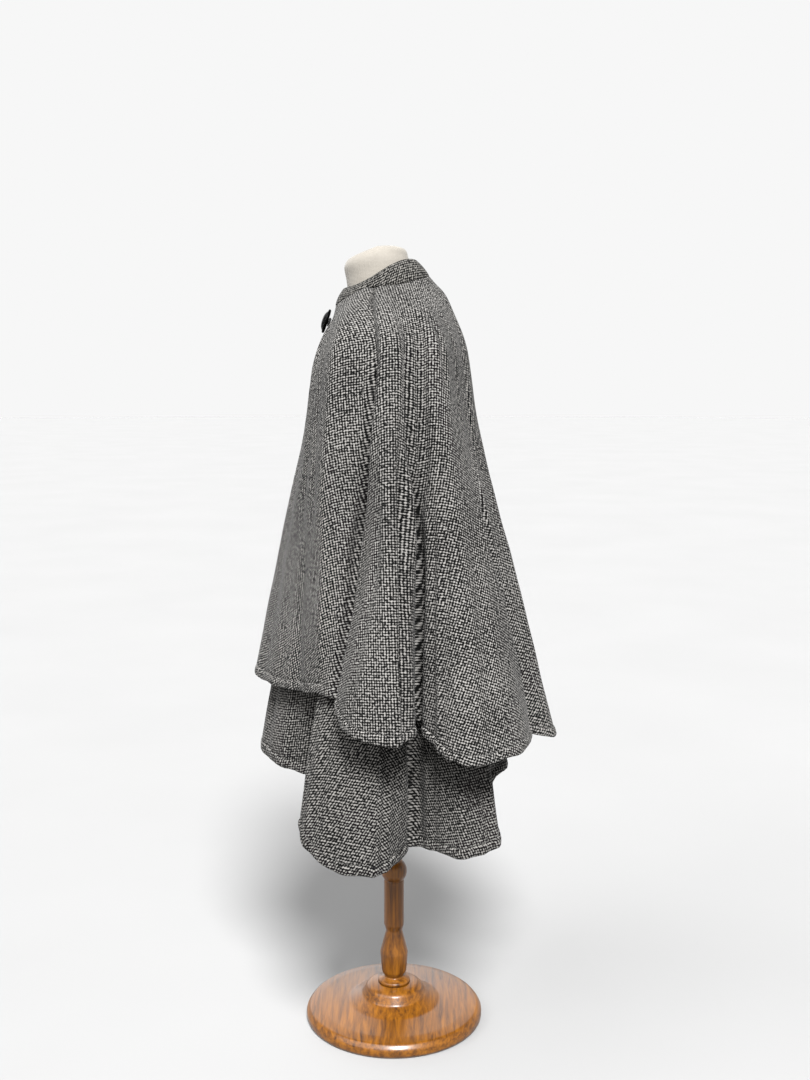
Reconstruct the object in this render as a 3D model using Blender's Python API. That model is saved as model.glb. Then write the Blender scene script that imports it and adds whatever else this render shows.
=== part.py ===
"""Two-tier wool cape coat on a limbless dress form with a turned wooden stand.

Metres, +Z up. The floor is z = 0 and the post stands on the Z axis. The front of the
garment faces -Y and the wearer's left is +X. Angles round the garment are in degrees from
the front, growing towards the wearer's left.

Each tier is a skin worked out from two tables: RINGS, level lines that lie over the
shoulders, and a table of folds, with one row for each fold line from neck to hem. A panel
is a stretch of that skin between two seams, given the cloth's thickness inwards.
"""

import math
from collections import namedtuple

import bmesh
import bpy
import numpy as np

# Cloth
CLOTH_THICKNESS = 0.0024
SEAM_GAP = 0.0004
LAYER_GAP = 0.0008
FORM_EASE = (0.0018, 0.0016, 0.0012, 0.0006, 0.0030, 0.0140)
HEM_BAND = 0.017
HEM_PUFF = 0.0009
HEM_PUFF_PLACE = 0.45

# Rows of points down a panel
SHOULDER_STATIONS = (0.0, 0.024, 0.05, 0.0775, 0.105, 0.135, 0.165, 0.2075, 0.25)
HANG_ROWS = 7
MID_STATION = 0.60

# Collar
COLLAR_THICKNESS = 0.0042
COLLAR_COLUMNS = 56
COLLAR_OPENING = 1.2
COLLAR_SEAM_GAP = 0.0006
COLLAR_ROWS = (0.0, 0.28, 0.56, 0.84, 1.0)
COLLAR_BULGE = (0.0, 0.0014, 0.0022, 0.0018, 0.0)
COLLAR_ROLL_FRONT = 0.0012
COLLAR_ROLL_SIDE = 0.0008
COLLAR_ROLL_BACK = 0.0030

# Button and loop
BUTTON_RADIUS = 0.0215
BUTTON_BACK = 0.0056
BUTTON_EDGE = 0.0046
BUTTON_DOME = 0.0055
SHANK_RADIUS = 0.0040
SHANK_FOOT = 0.0009
BUTTON_STATION = 0.0365
BUTTON_LEAN = 0.75
BUTTON_PLACE = 0.55
LOOP_CORD_RADIUS = 0.0018
LOOP_EASE = 0.0004
LOOP_STAND = 0.0007
LOOP_TAIL = 0.024
LOOP_WAIST = 0.95

# Dress form
FORM_COLUMNS = 36
FORM_SHOULDER_ROWS = 7
FORM_UNDERSIDE = 0.725

# Stand
BALL_RADIUS = 0.0243
BALL_HEIGHT = 0.284
BALL_TOP_ANGLE = 40.0
BALL_FOOT_ANGLE = 131.0
BALL_ROWS = 8
POST_FOOT = 0.0663
BASE_RADIUS = 0.165
TURNED_STEPS = 24

# Level lines of the over-cape's outer face. Front, side and back heights differ because
# the neckline dips at the front. "along" is how far down the skin a ring lies, from 0 at the
# neckline to 1 at the hem, and "lift" is the share of a fold's shoulder lift it takes.
Ring = namedtuple("Ring", "name along front_y back_y half_width centre_y front_z side_z back_z lift")
RINGS = (
    Ring("neckline", 0.000, -0.102, 0.064, 0.072, -0.020, 1.322, 1.352, 1.373, 0.00),
    Ring("neck_fall", 0.024, -0.1064, 0.075, 0.090, -0.0185, 1.303, 1.345, 1.360, 0.05),
    Ring("collarbone", 0.050, -0.1155, 0.089, 0.112, -0.016, 1.282, 1.333, 1.345, 0.15),
    Ring("shoulder", 0.105, -0.1315, 0.110, 0.158, -0.008, 1.240, 1.306, 1.298, 0.55),
    Ring("shoulder_end", 0.165, -0.143, 0.127, 0.195, 0.000, 1.198, 1.262, 1.245, 0.90),
    Ring("breast", 0.250, -0.151, 0.139, 0.215, 0.000, 1.135, 1.180, 1.150, 1.00),
)

# One row for each fold line. The angles say where it leaves the shoulder and where it meets
# the hem, lift is how far it stands off at the breast line, the radii are its distances from
# the post's axis at the middle line and at the hem, and steps is the number of columns up to
# the next row.
Fold = namedtuple("Fold", "name top_angle hem_angle lift mid_radius hem_radius hem_height steps")
OVER_FOLDS = (
    Fold("front_edge_left", 0.1, 1.6, 0.000, 0.197, 0.2500, 0.668, 2),
    Fold("front_corner_left", 9.0, 10.0, 0.001, 0.198, 0.2510, 0.668, 2),
    Fold("front_flat_left", 27.0, 27.0, 0.004, 0.199, 0.238, 0.666, 2),
    Fold("front_dip_left", 45.0, 44.0, 0.012, 0.211, 0.232, 0.668, 2),
    Fold("flute_1", 62.0, 60.0, 0.026, 0.237, 0.247, 0.675, 3),
    Fold("valley_1", 78.5, 69.0, 0.001, 0.220, 0.257, 0.673, 2),
    Fold("flute_2_front", 84.5, 72.5, 0.020, 0.254, 0.290, 0.645, 2),
    Fold("flute_2_crest", 88.5, 80.0, 0.025, 0.274, 0.324, 0.628, 2),
    Fold("flute_2_edge", 92.0, 91.0, 0.024, 0.278, 0.335, 0.620, 2),
    Fold("side_seam_left", 94.0, 95.2, 0.018, 0.269, 0.322, 0.621, 3),
    Fold("valley_2", 100.0, 98.8, 0.001, 0.218, 0.215, 0.634, 2),
    Fold("flute_3_front", 106.0, 103.0, 0.015, 0.240, 0.262, 0.610, 2),
    Fold("flute_3_turn", 111.0, 107.0, 0.020, 0.264, 0.318, 0.588, 2),
    Fold("flute_3_crest", 117.0, 113.5, 0.018, 0.271, 0.346, 0.584, 2),
    Fold("flute_3_back", 127.0, 125.0, 0.009, 0.259, 0.349, 0.592, 2),
    Fold("flute_3_edge", 136.0, 137.0, 0.004, 0.237, 0.317, 0.599, 2),
    Fold("valley_3", 146.0, 149.0, 0.001, 0.205, 0.258, 0.588, 2),
    Fold("flute_4_crest", 160.0, 163.0, 0.005, 0.217, 0.301, 0.568, 2),
    Fold("back_dip", 180.0, 181.0, 0.001, 0.196, 0.256, 0.580, 2),
    Fold("flute_5_crest", 201.0, 199.0, 0.005, 0.218, 0.303, 0.572, 2),
    Fold("valley_4", 216.0, 214.0, 0.001, 0.204, 0.255, 0.592, 2),
    Fold("flute_6_back", 229.0, 228.0, 0.007, 0.244, 0.329, 0.600, 2),
    Fold("flute_6_crest", 243.0, 245.0, 0.018, 0.270, 0.346, 0.598, 2),
    Fold("flute_6_front", 253.0, 256.0, 0.015, 0.252, 0.282, 0.614, 2),
    Fold("valley_5", 260.5, 262.0, 0.001, 0.220, 0.221, 0.632, 3),
    Fold("side_seam_right", 266.5, 267.5, 0.020, 0.264, 0.302, 0.624, 2),
    Fold("flute_7_crest", 271.5, 275.0, 0.025, 0.277, 0.331, 0.618, 2),
    Fold("flute_7_front", 277.0, 286.0, 0.018, 0.257, 0.294, 0.633, 2),
    Fold("valley_6", 284.0, 293.0, 0.001, 0.221, 0.256, 0.668, 3),
    Fold("flute_8", 300.0, 306.0, 0.022, 0.234, 0.246, 0.672, 2),
    Fold("front_dip_right", 320.0, 325.0, 0.007, 0.205, 0.232, 0.664, 3),
    Fold("front_corner_right", 350.0, 349.0, 0.001, 0.198, 0.2495, 0.667, 2),
    Fold("front_edge_right", 359.9, 358.3, 0.000, 0.196, 0.2485, 0.667, 0),
)
UNDER_FOLDS = (
    Fold("front_edge_left", 0.1, 1.3, 0.000, 0.186, 0.2405, 0.537, 2),
    Fold("front_corner_left", 10.0, 12.0, 0.000, 0.187, 0.243, 0.531, 2),
    Fold("flute_1_crest", 27.0, 28.0, 0.001, 0.189, 0.232, 0.522, 2),
    Fold("flute_1_side", 41.0, 40.0, 0.001, 0.192, 0.206, 0.512, 2),
    Fold("valley_1", 52.0, 48.5, 0.000, 0.193, 0.178, 0.496, 2),
    Fold("flute_2_edge", 60.0, 54.5, 0.001, 0.203, 0.268, 0.449, 2),
    Fold("flute_2_front", 70.0, 61.5, 0.001, 0.208, 0.294, 0.419, 2),
    Fold("flute_2_crest", 80.0, 74.5, 0.000, 0.211, 0.303, 0.394, 2),
    Fold("side_seam_left", 88.0, 84.5, 0.002, 0.217, 0.297, 0.391, 2),
    Fold("flute_2_back", 93.5, 91.0, 0.001, 0.216, 0.258, 0.398, 2),
    Fold("valley_2", 99.5, 98.5, 0.000, 0.209, 0.203, 0.404, 2),
    Fold("flute_3_front", 106.0, 106.5, 0.001, 0.211, 0.224, 0.406, 2),
    Fold("flute_3_crest", 114.0, 115.0, 0.002, 0.214, 0.292, 0.409, 2),
    Fold("flute_3_edge", 127.0, 127.0, 0.001, 0.203, 0.293, 0.417, 2),
    Fold("valley_3", 142.0, 143.0, 0.000, 0.180, 0.196, 0.466, 2),
    Fold("flute_4_crest", 158.0, 160.0, 0.001, 0.174, 0.215, 0.504, 2),
    Fold("back_dip", 180.0, 181.0, 0.000, 0.167, 0.190, 0.504, 2),
    Fold("flute_5_crest", 202.0, 201.0, 0.001, 0.174, 0.216, 0.502, 2),
    Fold("valley_4", 217.0, 216.0, 0.000, 0.180, 0.195, 0.468, 2),
    Fold("flute_6_edge", 232.0, 231.0, 0.001, 0.201, 0.282, 0.424, 2),
    Fold("flute_6_crest", 246.0, 246.0, 0.002, 0.216, 0.297, 0.410, 3),
    Fold("valley_5", 261.0, 262.0, 0.000, 0.210, 0.206, 0.404, 2),
    Fold("side_seam_right", 268.0, 270.0, 0.001, 0.216, 0.262, 0.399, 2),
    Fold("flute_7_crest", 277.0, 283.0, 0.001, 0.214, 0.300, 0.396, 2),
    Fold("flute_7_front", 292.0, 297.5, 0.001, 0.207, 0.286, 0.424, 2),
    Fold("flute_7_edge", 300.0, 305.5, 0.000, 0.202, 0.252, 0.456, 2),
    Fold("valley_6", 308.0, 312.0, 0.000, 0.194, 0.180, 0.496, 2),
    Fold("flute_8_crest", 328.0, 329.0, 0.001, 0.190, 0.232, 0.522, 2),
    Fold("front_corner_right", 349.0, 348.0, 0.000, 0.187, 0.242, 0.531, 2),
    Fold("front_edge_right", 359.9, 358.7, 0.000, 0.186, 0.2395, 0.536, 0),
)

# A tier's folds, how deep it lies below the over-cape's face at the shoulder, the share of
# its turn that a fold has made at the middle line, and the tier's length down the side.
Tier = namedtuple("Tier", "name folds depth mid_turn length")
OVER_TIER = Tier("over", OVER_FOLDS, 0.0, 0.20, 0.80)
UNDER_TIER = Tier("under", UNDER_FOLDS, CLOTH_THICKNESS + LAYER_GAP, 0.30, 1.02)

# Level lines of the collar's top edge, of the dress form below the shoulder, and of its neck
# above the collar seam.
Level = namedtuple("Level", "name front_y back_y half_width centre_y front_z side_z back_z")
COLLAR_TOP = Level("collar_top", -0.0868, 0.0400, 0.0632, -0.0225, 1.3535, 1.3775, 1.4020)
FORM_LEVELS = (
    Level("bust", -0.138, 0.124, 0.160, 0.000, 1.150, 1.180, 1.160),
    Level("under_bust", -0.119, 0.109, 0.138, 0.000, 1.085, 1.090, 1.090),
    Level("waist", -0.093, 0.088, 0.119, 0.000, 1.000, 1.000, 1.000),
    Level("high_hip", -0.104, 0.108, 0.147, 0.000, 0.915, 0.915, 0.915),
    Level("hip", -0.111, 0.122, 0.163, 0.000, 0.825, 0.825, 0.825),
    Level("lower_edge", -0.108, 0.119, 0.159, 0.000, 0.735, 0.735, 0.735),
    Level("underside", -0.102, 0.113, 0.152, 0.000, 0.725, 0.725, 0.725),
)
NECK_LEVELS = (
    Level("neck_low", -0.0808, 0.0395, 0.0590, -0.0215, 1.346, 1.363, 1.380),
    Level("neck_middle", -0.0822, 0.0325, 0.0570, -0.0255, 1.366, 1.380, 1.392),
    Level("neck_edge", -0.0856, 0.0265, 0.0555, -0.0300, 1.3915, 1.4080, 1.4060),
    Level("cap_edge", -0.0810, 0.0230, 0.0505, -0.0290, 1.4005, 1.4175, 1.4175),
    Level("cap_middle", -0.0640, 0.0090, 0.0340, -0.0275, 1.4105, 1.4225, 1.4245),
    Level("cap_centre", -0.0420, -0.0120, 0.0130, -0.0270, 1.4190, 1.4250, 1.4265),
)

# Profiles of the turned stand, from the top down. The ball comes between post and column.
Turning = namedtuple("Turning", "name radius height")
POST_PROFILE = (
    Turning("post_top", 0.0150, FORM_UNDERSIDE - SEAM_GAP),
    Turning("post_upper", 0.0150, 0.560),
    Turning("post_lower", 0.0170, 0.352),
    Turning("collar_ring", 0.0195, 0.332),
    Turning("collar_ring_low", 0.0195, 0.325),
    Turning("neck_above_ball", 0.0140, 0.316),
)
COLUMN_PROFILE = (
    Turning("groove", 0.0176, 0.2665),
    Turning("column_shoulder", 0.0187, 0.2650),
    Turning("column", 0.0187, 0.180),
    Turning("swell_top", 0.0150, 0.168),
    Turning("swell", 0.0260, 0.125),
    Turning("swell_foot", 0.0230, 0.088),
    Turning("foot_neck", 0.0170, 0.078),
    Turning("foot_ring", 0.0300, 0.072),
    Turning("foot", 0.0300, POST_FOOT),
)
BASE_PROFILE = (
    Turning("socket", 0.0420, 0.0660),
    Turning("crown", 0.0520, 0.0600),
    Turning("cove_top", 0.0600, 0.0440),
    Turning("cove", 0.0860, 0.0330),
    Turning("step", 0.1380, 0.0285),
    Turning("rim_top", 0.1580, 0.0250),
    Turning("rim", BASE_RADIUS, 0.0160),
    Turning("rim_low", BASE_RADIUS, 0.0050),
    Turning("floor_edge", 0.1600, 0.0000),
)

# Profile of the button from the foot of its shank to its crown. The height is above the cloth.
BUTTON_PROFILE = (
    Turning("shank_foot", SHANK_RADIUS, SHANK_FOOT),
    Turning("shank_top", SHANK_RADIUS, BUTTON_BACK),
    Turning("back", BUTTON_RADIUS - 0.0015, BUTTON_BACK + 0.0002),
    Turning("edge_low", BUTTON_RADIUS, BUTTON_BACK + 0.0014),
    Turning("edge_high", BUTTON_RADIUS, BUTTON_BACK + BUTTON_EDGE - 0.0012),
    Turning("roll", BUTTON_RADIUS - 0.0016, BUTTON_BACK + BUTTON_EDGE),
    Turning("roll_foot", BUTTON_RADIUS - 0.0032, BUTTON_BACK + BUTTON_EDGE - 0.0006),
    Turning("dome", 0.0133, BUTTON_BACK + BUTTON_EDGE + BUTTON_DOME * 0.60),
    Turning("crown", 0.0060, BUTTON_BACK + BUTTON_EDGE + BUTTON_DOME * 0.95),
)


def clear_scene():
    """Remove every object of the scene that the script starts in."""
    for old in list(bpy.data.objects):
        bpy.data.objects.remove(old, do_unlink=True)


def plain_material(name, colour, roughness):
    """A Principled material with one linear colour."""
    material = bpy.data.materials.new(name)
    material.use_nodes = True
    shader = material.node_tree.nodes["Principled BSDF"]
    shader.inputs["Base Color"].default_value = (*colour, 1.0)
    shader.inputs["Roughness"].default_value = roughness
    return material


def add_object(name, mesh, material, smooth_angle=40.0):
    """Link a mesh as an object, shaded smooth up to an angle in degrees."""
    mesh.materials.append(material)
    mesh.shade_smooth()
    mesh.set_sharp_from_angle(angle=math.radians(smooth_angle))
    piece = bpy.data.objects.new(name, mesh)
    bpy.context.scene.collection.objects.link(piece)
    return piece


def arched(lengthways):
    """Share of the end's height for a line that arches over the shoulders."""
    return lengthways ** 2


def tilted(lengthways):
    """Share of the end's height for a line that lies in a tilted plane."""
    return np.abs(lengthways)


def dipped(lengthways):
    """Share of the end's height for a line that turns level towards front and back."""
    return np.sin(math.pi / 2.0 * np.abs(lengthways))


def level_line(level, angle, share_of_end=arched):
    """Points of a level line at angles in degrees: an oval whose front and back differ.

    Along a direction from (0, centre_y) the reach is that of an ellipse with the half width
    sideways, and the front or back reach lengthways. Heights blend from the side's to the
    front's or the back's by a share that is worked out from the angle's cosine.
    """
    turn = np.radians(angle)
    sideways = np.sin(turn)
    lengthways = np.cos(turn)
    forward = lengthways > 0.0
    reach = np.where(forward, level.centre_y - level.front_y, level.back_y - level.centre_y)
    end_height = np.where(forward, level.front_z, level.back_z)
    radius = 1.0 / np.sqrt((sideways / level.half_width) ** 2 + (lengthways / reach) ** 2)
    share = share_of_end(lengthways)
    height = level.side_z * (1.0 - share) + end_height * share
    return np.stack([radius * sideways, level.centre_y - radius * lengthways, height], axis=-1)


def column_value(rows, column, place):
    """A table's column read between its rows, without overshoot.

    The curve is the monotone cubic: its slope at a row is the harmonic mean of the steps on
    both sides, or zero where the values turn back.
    """
    values = np.array([getattr(row, column) for row in rows])
    steps = np.diff(values)
    before = steps[:-1]
    after = steps[1:]
    together = before * after > 0.0
    total = np.where(together, before + after, 1.0)
    slopes = np.zeros(len(values))
    slopes[1:-1] = np.where(together, 2.0 * before * after / total, 0.0)
    slopes[0] = steps[0]
    slopes[-1] = steps[-1]
    row = np.clip(np.floor(place).astype(int), 0, len(values) - 2)
    part = place - row
    rest = 1.0 - part
    return (
        values[row] * (1.0 + 2.0 * part) * rest ** 2
        + values[row + 1] * (3.0 - 2.0 * part) * part ** 2
        + slopes[row] * part * rest ** 2
        - slopes[row + 1] * rest * part ** 2
    )


def down_the_skin(knots, stations, along):
    """Smooth line through a skin's knots at their stations, read at other stations.

    A cubic through each pair of knots, whose slope at a knot weighs the slopes of the two
    sides by the length of the opposite side.
    """
    stations = np.asarray(stations)
    lengths = np.diff(stations)
    chords = np.diff(knots, axis=0) / lengths[:, None, None]
    slopes = np.empty_like(knots)
    share = (lengths[1:] / (lengths[1:] + lengths[:-1]))[:, None, None]
    slopes[1:-1] = chords[:-1] * share + chords[1:] * (1.0 - share)
    slopes[0] = chords[0]
    slopes[-1] = chords[-1]
    row = np.clip(np.searchsorted(stations, along, side="right") - 1, 0, len(lengths) - 1)
    length = lengths[row][:, None, None]
    part = ((along - stations[row]) / lengths[row])[:, None, None]
    rest = 1.0 - part
    return (
        knots[row] * (1.0 + 2.0 * part) * rest ** 2
        + knots[row + 1] * (3.0 - 2.0 * part) * part ** 2
        + slopes[row] * length * part * rest ** 2
        - slopes[row + 1] * length * rest * part ** 2
    )


def shoulder_line(index, angle, depth):
    """A ring of the over-cape's outer face, sunk by a depth along the shoulder's normal."""
    step = 0.02
    here = level_line(RINGS[index], angle)
    around = level_line(RINGS[index], angle + step) - level_line(RINGS[index], angle - step)
    above = level_line(RINGS[max(index - 1, 0)], angle)
    below = level_line(RINGS[min(index + 1, len(RINGS) - 1)], angle)
    normal = np.cross(around, above - below)
    normal /= np.linalg.norm(normal, axis=-1, keepdims=True)
    return here - normal * depth


def skin(tier, place, along):
    """Outer face of a tier: rows are stations down the skin, columns places among its folds.

    Each fold line runs through the shoulder's rings, lifted off them by its share, then a
    point at the middle line and one at the hem, which its row gives.
    """
    top_angle = column_value(tier.folds, "top_angle", place)
    hem_angle = column_value(tier.folds, "hem_angle", place)
    lift = column_value(tier.folds, "lift", place)
    hem_height = column_value(tier.folds, "hem_height", place)
    turn = np.radians(top_angle)
    outward = np.stack([np.sin(turn), -np.cos(turn), 0.0 * turn], axis=-1)
    knots = [
        shoulder_line(index, top_angle, tier.depth) + outward * (lift * ring.lift)[:, None]
        for index, ring in enumerate(RINGS)
    ]
    share = (MID_STATION - RINGS[-1].along) / (1.0 - RINGS[-1].along)
    mid_height = knots[-1][:, 2] * (1.0 - share) + hem_height * share
    mid_turn = np.radians(top_angle + (hem_angle - top_angle) * tier.mid_turn)
    mid_radius = column_value(tier.folds, "mid_radius", place)
    hem_turn = np.radians(hem_angle)
    hem_radius = column_value(tier.folds, "hem_radius", place)
    for turn, radius, height in ((mid_turn, mid_radius, mid_height), (hem_turn, hem_radius, hem_height)):
        knots.append(np.stack([radius * np.sin(turn), -radius * np.cos(turn), height], axis=-1))
    stations = [ring.along for ring in RINGS] + [MID_STATION, 1.0]
    return down_the_skin(np.array(knots), stations, along)


def skin_normal(tier, place, along):
    """Unit normals of a tier's skin, from small steps both ways on it."""
    step_place = 0.004
    step_along = 0.002
    limit = len(tier.folds) - 1
    around = (
        skin(tier, np.clip(place + step_place, 0, limit), along)
        - skin(tier, np.clip(place - step_place, 0, limit), along)
    )
    down = (
        skin(tier, place, np.clip(along + step_along, 0.0, 1.0))
        - skin(tier, place, np.clip(along - step_along, 0.0, 1.0))
    )
    normal = np.cross(down, around)
    return normal / np.linalg.norm(normal, axis=-1, keepdims=True)


def wall_mesh(name, outer, inner):
    """Closed wall between two grids of points that have the same rows and columns."""
    rows, columns = outer.shape[:2]
    count = rows * columns
    points = np.concatenate([outer.reshape(-1, 3), inner.reshape(-1, 3)])
    faces = []
    for row in range(rows - 1):
        for column in range(columns - 1):
            near = row * columns + column
            faces.append((near, near + columns, near + columns + 1, near + 1))
            far = near + count
            faces.append((far, far + 1, far + columns + 1, far + columns))
    for column in range(columns - 1):
        foot = (rows - 1) * columns + column
        faces.append((column, column + 1, column + 1 + count, column + count))
        faces.append((foot + 1, foot, foot + count, foot + 1 + count))
    for row in range(rows - 1):
        first = row * columns
        last = first + columns - 1
        faces.append((first + columns, first, first + count, first + columns + count))
        faces.append((last, last + columns, last + columns + count, last + count))
    mesh = bpy.data.meshes.new(name)
    mesh.from_pydata(points.tolist(), [], faces)
    mesh.update()
    return mesh


def tube_mesh(name, rings):
    """Closed solid through rings of points, with a flat fan at both ends."""
    count, columns = rings.shape[:2]
    ends = np.stack([rings[0].mean(axis=0), rings[-1].mean(axis=0)])
    points = np.concatenate([rings.reshape(-1, 3), ends])
    faces = []
    for row in range(count - 1):
        for column in range(columns):
            near = row * columns
            far = near + columns
            nxt = (column + 1) % columns
            faces.append((near + column, far + column, far + nxt, near + nxt))
    last = (count - 1) * columns
    for column in range(columns):
        nxt = (column + 1) % columns
        faces.append((count * columns, column, nxt))
        faces.append((count * columns + 1, last + nxt, last + column))
    mesh = bpy.data.meshes.new(name)
    mesh.from_pydata(points.tolist(), [], faces)
    mesh.update()
    return mesh


def fold_index(tier, name):
    """Row number of a named fold."""
    return [fold.name for fold in tier.folds].index(name)


def panel_places(tier, first, last):
    """Columns of a panel, from one named fold to another, with each row's own steps."""
    start = fold_index(tier, first)
    stop = fold_index(tier, last)
    places = [
        row + step / tier.folds[row].steps
        for row in range(start, stop)
        for step in range(tier.folds[row].steps)
    ]
    places.append(float(stop))
    return np.array(places)


def panel_stations(length):
    """Rows of a panel: over the shoulder, down the hang, then the hem's turned band."""
    band = HEM_BAND / length
    hang = np.linspace(SHOULDER_STATIONS[-1], 1.0 - band, HANG_ROWS + 1)[1:]
    return np.concatenate([SHOULDER_STATIONS, hang, [1.0 - HEM_PUFF_PLACE * band, 1.0]])


def build_panel(tier, name, first, last, material):
    """One cut piece of a tier: a wall of cloth between two fold lines that are its seams."""
    place = panel_places(tier, first, last)
    along = panel_stations(tier.length)
    outer = skin(tier, place, along)
    normal = skin_normal(tier, place, along)
    outer[-2] += normal[-2] * HEM_PUFF
    for side, neighbour in ((0, 1), (-1, -2)):
        towards = outer[:, neighbour] - outer[:, side]
        towards /= np.linalg.norm(towards, axis=-1, keepdims=True)
        outer[:, side] += towards * SEAM_GAP / 2.0
    inner = outer - normal * CLOTH_THICKNESS
    inner[-2] -= normal[-2] * HEM_PUFF
    return add_object(name, wall_mesh(name, outer, inner), material, 60.0)


def build_collar(material):
    """Narrow stand collar: a band that takes in both tiers and leans to the neck."""
    angle = np.linspace(COLLAR_OPENING, 360.0 - COLLAR_OPENING, COLLAR_COLUMNS + 1)
    both_tiers = 2.0 * CLOTH_THICKNESS + LAYER_GAP
    upwards = shoulder_line(0, angle, 0.0) - shoulder_line(1, angle, 0.0)
    upwards /= np.linalg.norm(upwards, axis=-1, keepdims=True)
    outer_foot = shoulder_line(0, angle, 0.0) + upwards * COLLAR_SEAM_GAP
    inner_foot = shoulder_line(0, angle, both_tiers) + upwards * COLLAR_SEAM_GAP
    outer_top = level_line(COLLAR_TOP, angle, dipped)
    inner_level = COLLAR_TOP._replace(
        front_y=COLLAR_TOP.front_y + COLLAR_THICKNESS,
        back_y=COLLAR_TOP.back_y - COLLAR_THICKNESS,
        half_width=COLLAR_TOP.half_width - COLLAR_THICKNESS,
        front_z=COLLAR_TOP.front_z - COLLAR_ROLL_FRONT,
        side_z=COLLAR_TOP.side_z - COLLAR_ROLL_SIDE,
        back_z=COLLAR_TOP.back_z - COLLAR_ROLL_BACK,
    )
    inner_top = level_line(inner_level, angle, dipped)
    turn = np.radians(angle)
    outward = np.stack([np.sin(turn), -np.cos(turn), 0.0 * turn], axis=-1)
    outer = np.array([
        outer_foot * (1.0 - row) + outer_top * row + outward * swell
        for row, swell in zip(COLLAR_ROWS, COLLAR_BULGE)
    ])
    inner = np.array([inner_foot * (1.0 - row) + inner_top * row for row in COLLAR_ROWS])
    mesh = wall_mesh("collar", outer[::-1], inner[::-1])
    return add_object("collar", mesh, material, 50.0)


def build_dress_form(material):
    """Limbless torso with a closed neck, just inside the under-cape where it rests."""
    angle = np.arange(FORM_COLUMNS) * 360.0 / FORM_COLUMNS
    depth = 2.0 * CLOTH_THICKNESS + LAYER_GAP
    knots = np.array([shoulder_line(index, angle, depth + ease) for index, ease in enumerate(FORM_EASE)])
    stations = [ring.along for ring in RINGS]
    along = np.array(SHOULDER_STATIONS[:FORM_SHOULDER_ROWS])
    rings = [level_line(level, angle, tilted) for level in reversed(NECK_LEVELS)]
    rings += list(down_the_skin(knots, stations, along))
    rings += [level_line(level, angle) for level in FORM_LEVELS]
    mesh = tube_mesh("dress_form", np.array(rings))
    return add_object("dress_form", mesh, material, 50.0)


def turned_mesh(name, profile):
    """Solid of revolution about the Z axis, spun from its profile of radius and height."""
    shape = bmesh.new()
    points = [(0.0, profile[0].height)]
    points += [(row.radius, row.height) for row in profile]
    points.append((0.0, profile[-1].height))
    outline = [shape.verts.new((radius, 0.0, height)) for radius, height in points]
    edges = [shape.edges.new(pair) for pair in zip(outline, outline[1:])]
    bmesh.ops.spin(
        shape,
        geom=outline + edges,
        cent=(0.0, 0.0, 0.0),
        axis=(0.0, 0.0, 1.0),
        angle=2.0 * math.pi,
        steps=TURNED_STEPS,
        use_merge=True,
    )
    bmesh.ops.remove_doubles(shape, verts=shape.verts, dist=0.00001)
    bmesh.ops.recalc_face_normals(shape, faces=shape.faces)
    mesh = bpy.data.meshes.new(name)
    shape.to_mesh(mesh)
    shape.free()
    return mesh


def ball_profile():
    """Rows of the ball's profile between two angles measured from its top."""
    turns = np.radians(np.linspace(BALL_TOP_ANGLE, BALL_FOOT_ANGLE, BALL_ROWS))
    return tuple(
        Turning("ball", BALL_RADIUS * math.sin(turn), BALL_HEIGHT + BALL_RADIUS * math.cos(turn))
        for turn in turns
    )


def build_stand(wood):
    """Turned post with its ball and column, and the round foot that it stands in."""
    post = turned_mesh("stand_post", POST_PROFILE + ball_profile() + COLUMN_PROFILE)
    add_object("stand_post", post, wood, 35.0)
    base = turned_mesh("stand_base", BASE_PROFILE)
    add_object("stand_base", base, wood, 35.0)


def front_frame():
    """Point of the left front where the button sits, and its outward, up and side axes.

    The button leans back by a share of the cloth's own slope.
    """
    place = np.array([BUTTON_PLACE])
    along = np.array([BUTTON_STATION])
    point = skin(OVER_TIER, place, along)[0, 0]
    outward = skin_normal(OVER_TIER, place, along)[0, 0] * np.array([1.0, 1.0, BUTTON_LEAN])
    outward /= np.linalg.norm(outward)
    side = np.cross(np.array([0.0, 0.0, 1.0]), outward)
    side /= np.linalg.norm(side)
    return point, outward, np.cross(outward, side), side


def build_button(material):
    """Domed button with a rolled edge on a short shank."""
    point, outward, up, side = front_frame()
    turn = np.radians(np.arange(TURNED_STEPS) * 360.0 / TURNED_STEPS)
    circle = np.cos(turn)[:, None] * side + np.sin(turn)[:, None] * up
    rings = np.array([point + circle * row.radius + outward * row.height for row in BUTTON_PROFILE])
    mesh = tube_mesh("button", rings[::-1])
    return add_object("button", mesh, material, 30.0)


def build_loop(material):
    """Cord loop from the right front's edge round the button's shank."""
    point, outward, up, side = front_frame()
    reach = SHANK_RADIUS + LOOP_CORD_RADIUS + LOOP_EASE
    stand = LOOP_CORD_RADIUS + SEAM_GAP + LOOP_STAND
    curve = bpy.data.curves.new("button_loop", "CURVE")
    curve.dimensions = "3D"
    curve.bevel_depth = LOOP_CORD_RADIUS
    curve.bevel_resolution = 2
    curve.use_fill_caps = True
    route = [(-LOOP_TAIL, -reach * LOOP_WAIST), (-LOOP_TAIL / 2.0, -reach)]
    route += [
        (reach * math.cos(math.radians(turn)), reach * math.sin(math.radians(turn)))
        for turn in range(-90, 91, 30)
    ]
    route += [(-LOOP_TAIL / 2.0, reach), (-LOOP_TAIL, reach * LOOP_WAIST)]
    spline = curve.splines.new("POLY")
    spline.points.add(len(route) - 1)
    for knot, (across, high) in zip(spline.points, route):
        place = point + side * across + up * high + outward * stand
        knot.co = (*place, 1.0)
    piece = bpy.data.objects.new("button_loop", curve)
    curve.materials.append(material)
    bpy.context.scene.collection.objects.link(piece)
    return piece


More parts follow.
